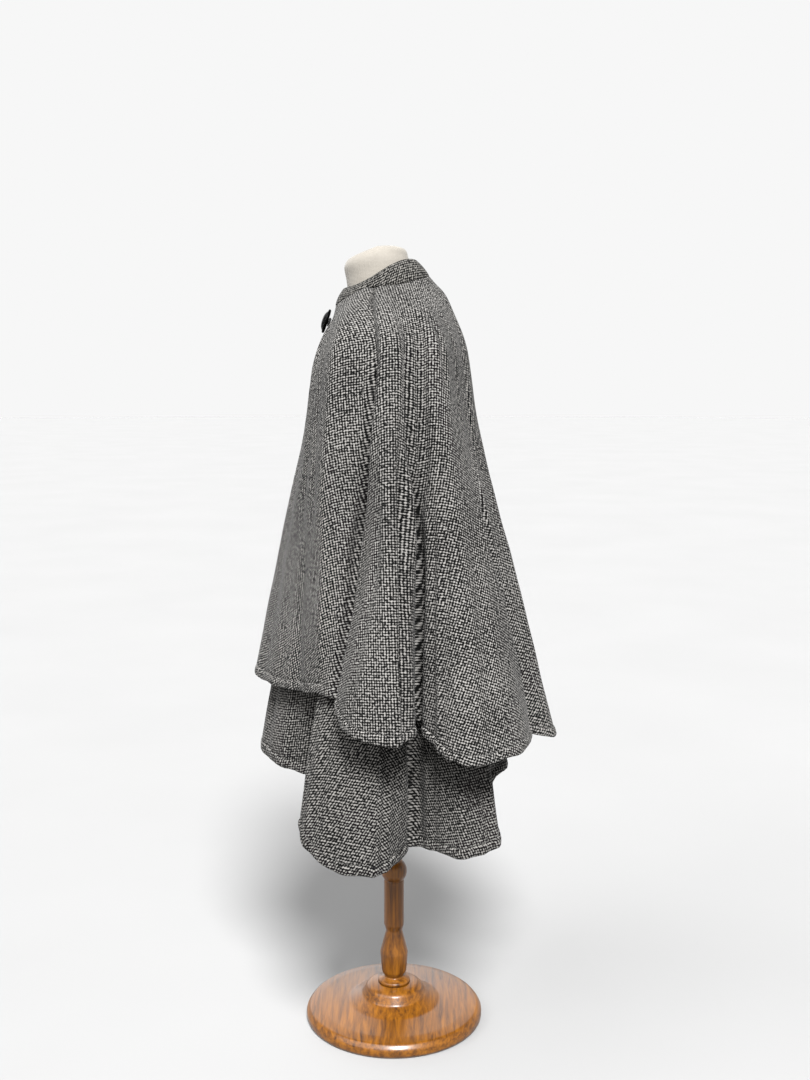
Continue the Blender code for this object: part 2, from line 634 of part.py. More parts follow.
def build_tier(tier, material):
    """Left front, back and right front of a tier."""
    build_panel(tier, f"{tier.name}_front_left", "front_edge_left", "side_seam_left", material)
    build_panel(tier, f"{tier.name}_back", "side_seam_left", "side_seam_right", material)
    build_panel(tier, f"{tier.name}_front_right", "side_seam_right", "front_edge_right", material)


def build():
    """Build every piece of the cape, the form and the stand."""
    clear_scene()
    build_tier(UNDER_TIER, plain_material("under_cape_wool", (0.16, 0.16, 0.16), 0.95))
    build_tier(OVER_TIER, plain_material("over_cape_wool", (0.19, 0.19, 0.19), 0.95))
    build_collar(plain_material("collar_wool", (0.17, 0.17, 0.17), 0.95))
    build_dress_form(plain_material("form_linen", (0.74, 0.69, 0.60), 0.85))
    build_stand(plain_material("turned_wood", (0.27, 0.11, 0.03), 0.40))
    build_button(plain_material("black_button", (0.01, 0.01, 0.01), 0.30))
    build_loop(plain_material("black_cord", (0.012, 0.012, 0.012), 0.80))


build()
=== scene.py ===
"""Looks of a two-tier wool cape coat on a dress form with a turned wooden stand.

Metres, +Z up, the floor at z = 0 and the post on the Z axis. The front of the garment faces
-Y and the wearer's left is +X. The cloth is a fine shell on the same level lines and fold
lines as the solids, with soft creases, turned hems and a weave that follows the flat cut.
"""

import math
from collections import namedtuple

import bpy
import numpy as np
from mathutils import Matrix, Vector


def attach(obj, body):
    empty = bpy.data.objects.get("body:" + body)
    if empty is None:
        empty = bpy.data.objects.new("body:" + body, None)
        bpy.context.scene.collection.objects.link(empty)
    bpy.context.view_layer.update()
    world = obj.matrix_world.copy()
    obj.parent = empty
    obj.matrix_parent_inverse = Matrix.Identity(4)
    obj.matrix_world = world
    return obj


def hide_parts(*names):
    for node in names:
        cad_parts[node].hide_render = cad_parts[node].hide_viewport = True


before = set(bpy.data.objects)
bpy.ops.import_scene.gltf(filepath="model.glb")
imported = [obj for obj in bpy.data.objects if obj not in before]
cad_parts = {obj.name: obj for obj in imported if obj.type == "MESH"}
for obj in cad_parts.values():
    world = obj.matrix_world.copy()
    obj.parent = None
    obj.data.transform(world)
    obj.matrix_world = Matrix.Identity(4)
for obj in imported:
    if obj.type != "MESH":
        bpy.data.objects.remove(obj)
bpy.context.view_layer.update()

# Cloth
CLOTH_THICKNESS = 0.0024
SEAM_GAP = 0.0004
SEAM_LINE = 0.0001
LAYER_GAP = 0.0008
MID_STATION = 0.60

# Turned hem: its band, the groove that its stitches pull in, its slight waves and its sag
HEM_BAND = 0.017
HEM_PUFF = 0.0021
HEM_RIPPLE = 0.00035
HEM_SAG = 0.0007
GROOVE_PLACE = 0.0160
GROOVE_WIDTH = 0.0017
GROOVE_DEPTH = 0.0026
EDGE_RADIUS = 0.0014
SEAM_DEPTH = 0.0009
SEAM_WIDTH = 0.0040
HEM_ROWS = (0.0232, 0.0205, 0.0188, 0.0176, 0.0167, 0.0160, 0.0153, 0.0144, 0.0132,
            0.0112, 0.0088, 0.0064, 0.0042, 0.0026, 0.0014, 0.0006, 0.0)
SEAM_COLUMNS = (0.0, 0.0006, 0.0014, 0.0028, 0.0045, 0.0065)
STITCH_PLACE = 0.0158
STITCH_PITCH = 0.0068
STITCH_HALF = 0.0019
STITCH_PROFILE = ((-1.0, 0.00008), (-0.55, 0.00042), (0.55, 0.00042), (1.0, 0.00008))

# Grids
DOWN_ROWS = 128
COLUMN_SPACING = 0.0052
TABLE_STEPS = 24

# Tones of the wool from its dark warp to its pale floats: places on the ramp and hex colours
OVER_TONES = ((0.36, "020202"), (0.50, "121212"), (0.79, "7e7c79"))
# The under-cape's tones are darker than the over-cape's: painted shade for the shadow of the over-cape
# above it.
UNDER_TONES_PAINTED_SHADE = ((0.36, "020202"), (0.50, "111111"), (0.79, "6f6d6a"))
# The collar's tones are darker than the over-cape's, though it is the same wool: painted shade on the
# collar at the top.
COLLAR_TONES_PAINTED_SHADE = ((0.36, "020202"), (0.50, "111111"), (0.79, "6e6c68"))

# Camera, in pixels of the photograph's frame
IMAGE_HEIGHT = 1080.0
FOCAL_PIXELS = 1255.0
HORIZON_PIXELS = 160.0
CAMERA_PLACE = (2.25, 0.0206, 1.193)

# Collar, button and loop
COLLAR_THICKNESS = 0.0042
COLLAR_OPENING = 1.2
COLLAR_SEAM_GAP = 0.0006
COLLAR_ROLL_FRONT = 0.0012
COLLAR_ROLL_SIDE = 0.0008
COLLAR_ROLL_BACK = 0.0030
COLLAR_HEIGHT = 0.024
COLLAR_SWELL = 0.0024
COLLAR_SEAMS = (95.0, 265.0)
COLLAR_SEAM_DEPTH = 0.0008
COLLAR_SEAM_WIDTH = 0.0009
COLLAR_ARC_PER_DEGREE = 0.0013
BUTTON_RADIUS = 0.0215
BUTTON_BACK = 0.0056
BUTTON_EDGE = 0.0046
BUTTON_DOME = 0.0055
BUTTON_TOP = BUTTON_BACK + BUTTON_EDGE
SHANK_RADIUS = 0.0040
SHANK_FOOT = 0.0009
BUTTON_STATION = 0.0365
BUTTON_LEAN = 0.75
BUTTON_PLACE = 0.55
LOOP_CORD_RADIUS = 0.0018
LOOP_EASE = 0.0004
LOOP_STAND = 0.0007
LOOP_TAIL = 0.024
LOOP_WAIST = 0.95
LOOP_TWIST = 0.007

# Dress form and stand
FORM_EASE = (0.0018, 0.0016, 0.0012, 0.0006, 0.0030, 0.0140)
FORM_UNDERSIDE = 0.725
BALL_RADIUS = 0.0243
BALL_HEIGHT = 0.284
BALL_TOP_ANGLE = 40.0
BALL_FOOT_ANGLE = 131.0
POST_FOOT = 0.0663
BASE_RADIUS = 0.165
ROUND_STEPS = 96
FORM_STEPS = 144
POST_ROUNDING = 0.0022
BASE_ROUNDING = 0.0035
FLOOR_RADIUS = 40.0

# Level lines of the over-cape's outer face: see the table's columns. "along" runs from 0 at
# the neckline to 1 at the hem, and "lift" is the share of a fold's shoulder lift.
Ring = namedtuple("Ring", "name along front_y back_y half_width centre_y front_z side_z back_z lift")
RINGS = (
    Ring("neckline", 0.000, -0.102, 0.064, 0.072, -0.020, 1.322, 1.352, 1.373, 0.00),
    Ring("neck_fall", 0.024, -0.1064, 0.075, 0.090, -0.0185, 1.303, 1.345, 1.360, 0.05),
    Ring("collarbone", 0.050, -0.1155, 0.089, 0.112, -0.016, 1.282, 1.333, 1.345, 0.15),
    Ring("shoulder", 0.105, -0.1315, 0.110, 0.158, -0.008, 1.240, 1.306, 1.298, 0.55),
    Ring("shoulder_end", 0.165, -0.143, 0.127, 0.195, 0.000, 1.198, 1.262, 1.245, 0.90),
    Ring("breast", 0.250, -0.151, 0.139, 0.215, 0.000, 1.135, 1.180, 1.150, 1.00),
)

# One row for each fold line. The angles say where it leaves the shoulder and where it meets
# the hem, lift is how far it stands off at the breast line, the radii are its distances from
# the post's axis at the middle line and at the hem, and steps is the number of columns up to
# the next row.
Fold = namedtuple("Fold", "name top_angle hem_angle lift mid_radius hem_radius hem_height steps")
OVER_FOLDS = (
    Fold("front_edge_left", 0.1, 1.6, 0.000, 0.197, 0.2500, 0.668, 2),
    Fold("front_corner_left", 9.0, 10.0, 0.001, 0.198, 0.2510, 0.668, 2),
    Fold("front_flat_left", 27.0, 27.0, 0.004, 0.199, 0.238, 0.666, 2),
    Fold("front_dip_left", 45.0, 44.0, 0.012, 0.211, 0.232, 0.668, 2),
    Fold("flute_1", 62.0, 60.0, 0.026, 0.237, 0.247, 0.675, 3),
    Fold("valley_1", 78.5, 69.0, 0.001, 0.220, 0.257, 0.673, 2),
    Fold("flute_2_front", 84.5, 72.5, 0.020, 0.254, 0.290, 0.645, 2),
    Fold("flute_2_crest", 88.5, 80.0, 0.025, 0.274, 0.324, 0.628, 2),
    Fold("flute_2_edge", 92.0, 91.0, 0.024, 0.278, 0.335, 0.620, 2),
    Fold("side_seam_left", 94.0, 95.2, 0.018, 0.269, 0.322, 0.621, 3),
    Fold("valley_2", 100.0, 98.8, 0.001, 0.218, 0.215, 0.634, 2),
    Fold("flute_3_front", 106.0, 103.0, 0.015, 0.240, 0.262, 0.610, 2),
    Fold("flute_3_turn", 111.0, 107.0, 0.020, 0.264, 0.318, 0.588, 2),
    Fold("flute_3_crest", 117.0, 113.5, 0.018, 0.271, 0.346, 0.584, 2),
    Fold("flute_3_back", 127.0, 125.0, 0.009, 0.259, 0.349, 0.592, 2),
    Fold("flute_3_edge", 136.0, 137.0, 0.004, 0.237, 0.317, 0.599, 2),
    Fold("valley_3", 146.0, 149.0, 0.001, 0.205, 0.258, 0.588, 2),
    Fold("flute_4_crest", 160.0, 163.0, 0.005, 0.217, 0.301, 0.568, 2),
    Fold("back_dip", 180.0, 181.0, 0.001, 0.196, 0.256, 0.580, 2),
    Fold("flute_5_crest", 201.0, 199.0, 0.005, 0.218, 0.303, 0.572, 2),
    Fold("valley_4", 216.0, 214.0, 0.001, 0.204, 0.255, 0.592, 2),
    Fold("flute_6_back", 229.0, 228.0, 0.007, 0.244, 0.329, 0.600, 2),
    Fold("flute_6_crest", 243.0, 245.0, 0.018, 0.270, 0.346, 0.598, 2),
    Fold("flute_6_front", 253.0, 256.0, 0.015, 0.252, 0.282, 0.614, 2),
    Fold("valley_5", 260.5, 262.0, 0.001, 0.220, 0.221, 0.632, 3),
    Fold("side_seam_right", 266.5, 267.5, 0.020, 0.264, 0.302, 0.624, 2),
    Fold("flute_7_crest", 271.5, 275.0, 0.025, 0.277, 0.331, 0.618, 2),
    Fold("flute_7_front", 277.0, 286.0, 0.018, 0.257, 0.294, 0.633, 2),
    Fold("valley_6", 284.0, 293.0, 0.001, 0.221, 0.256, 0.668, 3),
    Fold("flute_8", 300.0, 306.0, 0.022, 0.234, 0.246, 0.672, 2),
    Fold("front_dip_right", 320.0, 325.0, 0.007, 0.205, 0.232, 0.664, 3),
    Fold("front_corner_right", 350.0, 349.0, 0.001, 0.198, 0.2495, 0.667, 2),
    Fold("front_edge_right", 359.9, 358.3, 0.000, 0.196, 0.2485, 0.667, 0),
)
UNDER_FOLDS = (
    Fold("front_edge_left", 0.1, 1.3, 0.000, 0.186, 0.2405, 0.537, 2),
    Fold("front_corner_left", 10.0, 12.0, 0.000, 0.187, 0.243, 0.531, 2),
    Fold("flute_1_crest", 27.0, 28.0, 0.001, 0.189, 0.232, 0.522, 2),
    Fold("flute_1_side", 41.0, 40.0, 0.001, 0.192, 0.206, 0.512, 2),
    Fold("valley_1", 52.0, 48.5, 0.000, 0.193, 0.178, 0.496, 2),
    Fold("flute_2_edge", 60.0, 54.5, 0.001, 0.203, 0.268, 0.449, 2),
    Fold("flute_2_front", 70.0, 61.5, 0.001, 0.208, 0.294, 0.419, 2),
    Fold("flute_2_crest", 80.0, 74.5, 0.000, 0.211, 0.303, 0.394, 2),
    Fold("side_seam_left", 88.0, 84.5, 0.002, 0.217, 0.297, 0.391, 2),
    Fold("flute_2_back", 93.5, 91.0, 0.001, 0.216, 0.258, 0.398, 2),
    Fold("valley_2", 99.5, 98.5, 0.000, 0.209, 0.203, 0.404, 2),
    Fold("flute_3_front", 106.0, 106.5, 0.001, 0.211, 0.224, 0.406, 2),
    Fold("flute_3_crest", 114.0, 115.0, 0.002, 0.214, 0.292, 0.409, 2),
    Fold("flute_3_edge", 127.0, 127.0, 0.001, 0.203, 0.293, 0.417, 2),
    Fold("valley_3", 142.0, 143.0, 0.000, 0.180, 0.196, 0.466, 2),
    Fold("flute_4_crest", 158.0, 160.0, 0.001, 0.174, 0.215, 0.504, 2),
    Fold("back_dip", 180.0, 181.0, 0.000, 0.167, 0.190, 0.504, 2),
    Fold("flute_5_crest", 202.0, 201.0, 0.001, 0.174, 0.216, 0.502, 2),
    Fold("valley_4", 217.0, 216.0, 0.000, 0.180, 0.195, 0.468, 2),
    Fold("flute_6_edge", 232.0, 231.0, 0.001, 0.201, 0.282, 0.424, 2),
    Fold("flute_6_crest", 246.0, 246.0, 0.002, 0.216, 0.297, 0.410, 3),
    Fold("valley_5", 261.0, 262.0, 0.000, 0.210, 0.206, 0.404, 2),
    Fold("side_seam_right", 268.0, 270.0, 0.001, 0.216, 0.262, 0.399, 2),
    Fold("flute_7_crest", 277.0, 283.0, 0.001, 0.214, 0.300, 0.396, 2),
    Fold("flute_7_front", 292.0, 297.5, 0.001, 0.207, 0.286, 0.424, 2),
    Fold("flute_7_edge", 300.0, 305.5, 0.000, 0.202, 0.252, 0.456, 2),
    Fold("valley_6", 308.0, 312.0, 0.000, 0.194, 0.180, 0.496, 2),
    Fold("flute_8_crest", 328.0, 329.0, 0.001, 0.190, 0.232, 0.522, 2),
    Fold("front_corner_right", 349.0, 348.0, 0.000, 0.187, 0.242, 0.531, 2),
    Fold("front_edge_right", 359.9, 358.7, 0.000, 0.186, 0.2395, 0.536, 0),
)

# A tier's folds, how deep it lies below the over-cape's face at the shoulder, the share of
# its turn that a fold has made at the middle line, and the tier's length down the side.
Tier = namedtuple("Tier", "name folds depth mid_turn length")
OVER_TIER = Tier("over", OVER_FOLDS, 0.0, 0.20, 0.80)
UNDER_TIER = Tier("under", UNDER_FOLDS, CLOTH_THICKNESS + LAYER_GAP, 0.30, 1.02)

# Level lines of the collar's top edge, of the dress form below the shoulder, and of its neck
# above the collar seam.
Level = namedtuple("Level", "name front_y back_y half_width centre_y front_z side_z back_z")
COLLAR_TOP = Level("collar_top", -0.0868, 0.0400, 0.0632, -0.0225, 1.3535, 1.3775, 1.4020)
FORM_LEVELS = (
    Level("bust", -0.138, 0.124, 0.160, 0.000, 1.150, 1.180, 1.160),
    Level("under_bust", -0.119, 0.109, 0.138, 0.000, 1.085, 1.090, 1.090),
    Level("waist", -0.093, 0.088, 0.119, 0.000, 1.000, 1.000, 1.000),
    Level("high_hip", -0.104, 0.108, 0.147, 0.000, 0.915, 0.915, 0.915),
    Level("hip", -0.111, 0.122, 0.163, 0.000, 0.825, 0.825, 0.825),
    Level("lower_edge", -0.108, 0.119, 0.159, 0.000, 0.735, 0.735, 0.735),
    Level("underside", -0.102, 0.113, 0.152, 0.000, 0.725, 0.725, 0.725),
)
NECK_LEVELS = (
    Level("neck_low", -0.0808, 0.0395, 0.0590, -0.0215, 1.346, 1.363, 1.380),
    Level("neck_middle", -0.0822, 0.0325, 0.0570, -0.0255, 1.366, 1.380, 1.392),
    Level("neck_edge", -0.0856, 0.0265, 0.0555, -0.0300, 1.3915, 1.4080, 1.4060),
    Level("cap_edge", -0.0810, 0.0230, 0.0505, -0.0290, 1.4005, 1.4175, 1.4175),
    Level("cap_middle", -0.0640, 0.0090, 0.0340, -0.0275, 1.4105, 1.4225, 1.4245),
    Level("cap_centre", -0.0420, -0.0120, 0.0130, -0.0270, 1.4190, 1.4250, 1.4265),
)

# Profiles of the turned stand, from the top down. The ball comes between post and column.
Turning = namedtuple("Turning", "name radius height")
POST_PROFILE = (
    Turning("post_top", 0.0150, FORM_UNDERSIDE - SEAM_GAP),
    Turning("post_upper", 0.0150, 0.560),
    Turning("post_lower", 0.0170, 0.352),
    Turning("collar_ring", 0.0195, 0.332),
    Turning("collar_ring_low", 0.0195, 0.325),
    Turning("neck_above_ball", 0.0140, 0.316),
)
COLUMN_PROFILE = (
    Turning("groove", 0.0176, 0.2665),
    Turning("column_shoulder", 0.0187, 0.2650),
    Turning("column", 0.0187, 0.180),
    Turning("swell_top", 0.0150, 0.168),
    Turning("swell", 0.0260, 0.125),
    Turning("swell_foot", 0.0230, 0.088),
    Turning("foot_neck", 0.0170, 0.078),
    Turning("foot_ring", 0.0300, 0.072),
    Turning("foot", 0.0300, POST_FOOT),
)
BASE_PROFILE = (
    Turning("socket", 0.0420, 0.0660),
    Turning("crown", 0.0520, 0.0600),
    Turning("cove_top", 0.0600, 0.0440),
    Turning("cove", 0.0860, 0.0330),
    Turning("step", 0.1380, 0.0285),
    Turning("rim_top", 0.1580, 0.0250),
    Turning("rim", BASE_RADIUS, 0.0160),
    Turning("rim_low", BASE_RADIUS, 0.0050),
    Turning("floor_edge", 0.1600, 0.0000),
)

BUTTON_PROFILE = (
    Turning("shank_foot", SHANK_RADIUS, SHANK_FOOT),
    Turning("shank_top", SHANK_RADIUS, BUTTON_BACK),
    Turning("back", BUTTON_RADIUS - 0.0015, BUTTON_BACK + 0.0002),
    Turning("edge_low", BUTTON_RADIUS, BUTTON_BACK + 0.0014),
    Turning("edge_high", BUTTON_RADIUS, BUTTON_TOP - 0.0012),
    Turning("edge_turn", BUTTON_RADIUS - 0.0005, BUTTON_TOP - 0.0004),
    Turning("roll", BUTTON_RADIUS - 0.0016, BUTTON_TOP),
    Turning("roll_inner", BUTTON_RADIUS - 0.0026, BUTTON_TOP - 0.0003),
    Turning("roll_foot", BUTTON_RADIUS - 0.0034, BUTTON_TOP - 0.0006),
    Turning("dome_low", 0.0162, BUTTON_TOP + BUTTON_DOME * 0.28),
    Turning("dome", 0.0133, BUTTON_TOP + BUTTON_DOME * 0.60),
    Turning("dome_high", 0.0098, BUTTON_TOP + BUTTON_DOME * 0.83),
    Turning("crown", 0.0058, BUTTON_TOP + BUTTON_DOME * 0.95),
    Turning("crown_middle", 0.0020, BUTTON_TOP + BUTTON_DOME),
)


def arched(lengthways):
    """Share of the end's height for a line that arches over the shoulders."""
    return lengthways ** 2


def tilted(lengthways):
    """Share of the end's height for a line that lies in a tilted plane."""
    return np.abs(lengthways)


def dipped(lengthways):
    """Share of the end's height for a line that turns level towards front and back."""
    return np.sin(math.pi / 2.0 * np.abs(lengthways))


def level_line(level, angle, share_of_end=arched):
    """Points of a level line at angles in degrees: an oval whose front and back differ.

    Along a direction from (0, centre_y) the reach is that of an ellipse with the half width
    sideways, and the front or back reach lengthways. Heights blend from the side's to the
    front's or the back's by a share that is worked out from the angle's cosine.
    """
    turn = np.radians(angle)
    sideways = np.sin(turn)
    lengthways = np.cos(turn)
    forward = lengthways > 0.0
    reach = np.where(forward, level.centre_y - level.front_y, level.back_y - level.centre_y)
    end_height = np.where(forward, level.front_z, level.back_z)
    radius = 1.0 / np.sqrt((sideways / level.half_width) ** 2 + (lengthways / reach) ** 2)
    share = share_of_end(lengthways)
    height = level.side_z * (1.0 - share) + end_height * share
    return np.stack([radius * sideways, level.centre_y - radius * lengthways, height], axis=-1)


def column_value(rows, column, place):
    """A table's column read between its rows, without overshoot.

    The curve is the monotone cubic: its slope at a row is the harmonic mean of the steps on
    both sides, or zero where the values turn back.
    """
    values = np.array([getattr(row, column) for row in rows])
    steps = np.diff(values)
    before = steps[:-1]
    after = steps[1:]
    together = before * after > 0.0
    total = np.where(together, before + after, 1.0)
    slopes = np.zeros(len(values))
    slopes[1:-1] = np.where(together, 2.0 * before * after / total, 0.0)
    slopes[0] = steps[0]
    slopes[-1] = steps[-1]
    row = np.clip(np.floor(place).astype(int), 0, len(values) - 2)
    part = place - row
    rest = 1.0 - part
    return (
        values[row] * (1.0 + 2.0 * part) * rest ** 2
        + values[row + 1] * (3.0 - 2.0 * part) * part ** 2
        + slopes[row] * part * rest ** 2
        - slopes[row + 1] * rest * part ** 2
    )


def down_the_skin(knots, stations, along):
    """Smooth line through a skin's knots at their stations, read at other stations.

    A cubic through each pair of knots, whose slope at a knot weighs the slopes of the two
    sides by the length of the opposite side.
    """
    stations = np.asarray(stations)
    lengths = np.diff(stations)
    chords = np.diff(knots, axis=0) / lengths[:, None, None]
    slopes = np.empty_like(knots)
    share = (lengths[1:] / (lengths[1:] + lengths[:-1]))[:, None, None]
    slopes[1:-1] = chords[:-1] * share + chords[1:] * (1.0 - share)
    slopes[0] = chords[0]
    slopes[-1] = chords[-1]
    row = np.clip(np.searchsorted(stations, along, side="right") - 1, 0, len(lengths) - 1)
    length = lengths[row][:, None, None]
    part = ((along - stations[row]) / lengths[row])[:, None, None]
    rest = 1.0 - part
    return (
        knots[row] * (1.0 + 2.0 * part) * rest ** 2
        + knots[row + 1] * (3.0 - 2.0 * part) * part ** 2
        + slopes[row] * length * part * rest ** 2
        - slopes[row + 1] * length * rest * part ** 2
    )


def shoulder_line(index, angle, depth):
    """A ring of the over-cape's outer face, sunk by a depth along the shoulder's normal."""
    step = 0.02
    here = level_line(RINGS[index], angle)
    around = level_line(RINGS[index], angle + step) - level_line(RINGS[index], angle - step)
    above = level_line(RINGS[max(index - 1, 0)], angle)
    below = level_line(RINGS[min(index + 1, len(RINGS) - 1)], angle)
    normal = np.cross(around, above - below)
    normal /= np.linalg.norm(normal, axis=-1, keepdims=True)
    return here - normal * depth


def skin(tier, place, along):
    """Outer face of a tier: rows are stations down the skin, columns places among its folds.

    Each fold line runs through the shoulder's rings, lifted off them by its share, then a
    point at the middle line and one at the hem, which its row gives.
    """
    top_angle = column_value(tier.folds, "top_angle", place)
    hem_angle = column_value(tier.folds, "hem_angle", place)
    lift = column_value(tier.folds, "lift", place)
    hem_height = column_value(tier.folds, "hem_height", place)
    turn = np.radians(top_angle)
    outward = np.stack([np.sin(turn), -np.cos(turn), 0.0 * turn], axis=-1)
    knots = [
        shoulder_line(index, top_angle, tier.depth) + outward * (lift * ring.lift)[:, None]
        for index, ring in enumerate(RINGS)
    ]
    share = (MID_STATION - RINGS[-1].along) / (1.0 - RINGS[-1].along)
    mid_height = knots[-1][:, 2] * (1.0 - share) + hem_height * share
    mid_turn = np.radians(top_angle + (hem_angle - top_angle) * tier.mid_turn)
    mid_radius = column_value(tier.folds, "mid_radius", place)
    hem_turn = np.radians(hem_angle)
    hem_radius = column_value(tier.folds, "hem_radius", place)
    for turn, radius, height in ((mid_turn, mid_radius, mid_height), (hem_turn, hem_radius, hem_height)):
        knots.append(np.stack([radius * np.sin(turn), -radius * np.cos(turn), height], axis=-1))
    stations = [ring.along for ring in RINGS] + [MID_STATION, 1.0]
    return down_the_skin(np.array(knots), stations, along)


def skin_normal(tier, place, along):
    """Unit normals of a tier's skin, from small steps both ways on it."""
    step_place = 0.004
    step_along = 0.002
    limit = len(tier.folds) - 1
    around = (
        skin(tier, np.clip(place + step_place, 0, limit), along)
        - skin(tier, np.clip(place - step_place, 0, limit), along)
    )
    down = (
        skin(tier, place, np.clip(along + step_along, 0.0, 1.0))
        - skin(tier, place, np.clip(along - step_along, 0.0, 1.0))
    )
    normal = np.cross(down, around)
    return normal / np.linalg.norm(normal, axis=-1, keepdims=True)


# Soft creases that the fold tables don't hold: where each starts and ends, by place among the
# folds and by station down the cloth, how wide it is and how far it stands out, less than
# nothing for a trough.
Crease = namedtuple("Crease", "name from_place from_along to_place to_along width height")
OVER_CREASES = (
    Crease("front_edge_roll", 0.55, 0.12, 0.60, 1.05, 0.020, 0.0022),
    Crease("front_trough", 1.35, 0.30, 1.55, 1.15, 0.026, -0.0040),
    Crease("front_ridge", 2.20, 0.36, 2.10, 1.12, 0.022, 0.0024),
    Crease("chest_trough", 2.90, 0.02, 2.75, 0.66, 0.018, -0.0042),
    Crease("front_trough_2", 3.00, 0.52, 3.10, 1.15, 0.020, -0.0050),
    Crease("chest_ridge", 2.35, 0.00, 2.40, 0.40, 0.013, 0.0026),
    Crease("flute_1_trough", 3.55, 0.10, 3.45, 0.70, 0.016, -0.0034),
    Crease("flute_1_ridge", 4.05, 0.06, 4.00, 1.00, 0.016, 0.0026),
    Crease("valley_1_top", 4.95, -0.06, 5.62, 0.34, 0.0125, -0.0050),
    Crease("valley_1_middle", 5.60, 0.14, 4.80, 0.72, 0.0140, -0.0145),
    Crease("valley_1_hem", 4.80, 0.48, 5.30, 1.25, 0.0145, -0.0155),
    Crease("flute_2_pleat", 6.35, 0.04, 6.30, 0.50, 0.0080, 0.0024),
    Crease("flute_2_ridge", 7.15, 0.08, 7.50, 1.00, 0.0140, 0.0030),
    Crease("flute_2_soft", 6.60, 0.44, 6.50, 1.10, 0.0120, -0.0028),
    Crease("flute_2_turn", 8.90, 0.26, 9.00, 1.30, 0.0240, -0.0160),
    Crease("flute_2_crest_line", 8.10, 0.34, 8.20, 1.20, 0.0080, 0.0026),
    Crease("valley_2_top", 10.70, 0.05, 10.30, 0.56, 0.0165, -0.0090),
    Crease("valley_2_line", 9.42, 0.09, 9.80, 0.66, 0.0140, -0.0100),
    Crease("valley_2_low", 9.90, 0.38, 10.70, 1.22, 0.0220, -0.0170),
    Crease("flute_3_edge", 11.45, 0.34, 11.50, 1.15, 0.0100, 0.0050),
    Crease("flute_3_ridge", 12.60, 0.10, 12.40, 0.92, 0.0190, 0.0026),
    Crease("shoulder_drag_1", 12.20, 0.02, 12.70, 0.30, 0.0090, -0.0026),
    Crease("flute_3_soft", 13.40, 0.48, 13.50, 1.10, 0.0180, -0.0036),
    Crease("flute_3_drag", 14.30, 0.04, 13.90, 0.36, 0.0110, 0.0022),
    Crease("valley_3_line", 15.90, 0.14, 14.30, 0.62, 0.0140, -0.0115),
    Crease("valley_3_low", 14.35, 0.44, 16.00, 1.15, 0.0160, -0.0140),
    Crease("back_drag_1", 16.60, 0.03, 16.30, 0.44, 0.0120, -0.0028),
    Crease("flute_4_ridge", 17.10, 0.16, 17.00, 0.96, 0.0160, 0.0034),
    Crease("back_ridge", 17.80, 0.10, 17.60, 0.72, 0.0160, -0.0030),
    Crease("back_trough", 18.20, 0.30, 18.10, 1.12, 0.0190, -0.0056),
    Crease("back_drag_2", 19.60, 0.03, 19.90, 0.40, 0.0110, -0.0030),
    Crease("flute_5_ridge", 18.95, 0.18, 19.05, 0.96, 0.0150, 0.0034),
    Crease("valley_4_line", 19.80, 0.20, 20.20, 1.12, 0.0120, -0.0066),
    Crease("flute_6_drag", 21.30, 0.04, 21.70, 0.38, 0.0110, 0.0024),
    Crease("flute_6_soft", 21.60, 0.42, 21.50, 1.10, 0.0180, -0.0038),
    Crease("flute_6_ridge", 22.30, 0.10, 22.45, 0.94, 0.0180, 0.0028),
    Crease("valley_5_line", 24.30, 0.10, 24.10, 0.66, 0.0080, -0.0080),
    Crease("valley_5_low", 24.10, 0.44, 23.80, 1.15, 0.0150, -0.0074),
    Crease("flute_7_ridge", 26.00, 0.08, 26.20, 1.00, 0.0140, 0.0030),
    Crease("flute_7_soft", 26.80, 0.40, 26.90, 1.10, 0.0120, -0.0030),
    Crease("valley_6_top", 28.30, -0.06, 27.80, 0.36, 0.0090, -0.0034),
    Crease("valley_6_low", 27.80, 0.16, 28.10, 1.20, 0.0120, -0.0078),
    Crease("flute_8_ridge", 29.05, 0.06, 29.10, 1.00, 0.0170, 0.0026),
    Crease("right_trough", 29.55, 0.30, 29.65, 1.15, 0.0210, -0.0048),
    Crease("right_chest", 29.90, 0.02, 30.10, 0.60, 0.0170, -0.0040),
    Crease("right_ridge", 30.30, 0.34, 30.35, 1.10, 0.0200, 0.0024),
    Crease("right_trough_2", 30.75, 0.46, 30.65, 1.15, 0.0240, -0.0040),
    Crease("right_edge_roll", 31.50, 0.12, 31.40, 1.05, 0.0200, 0.0020),
)
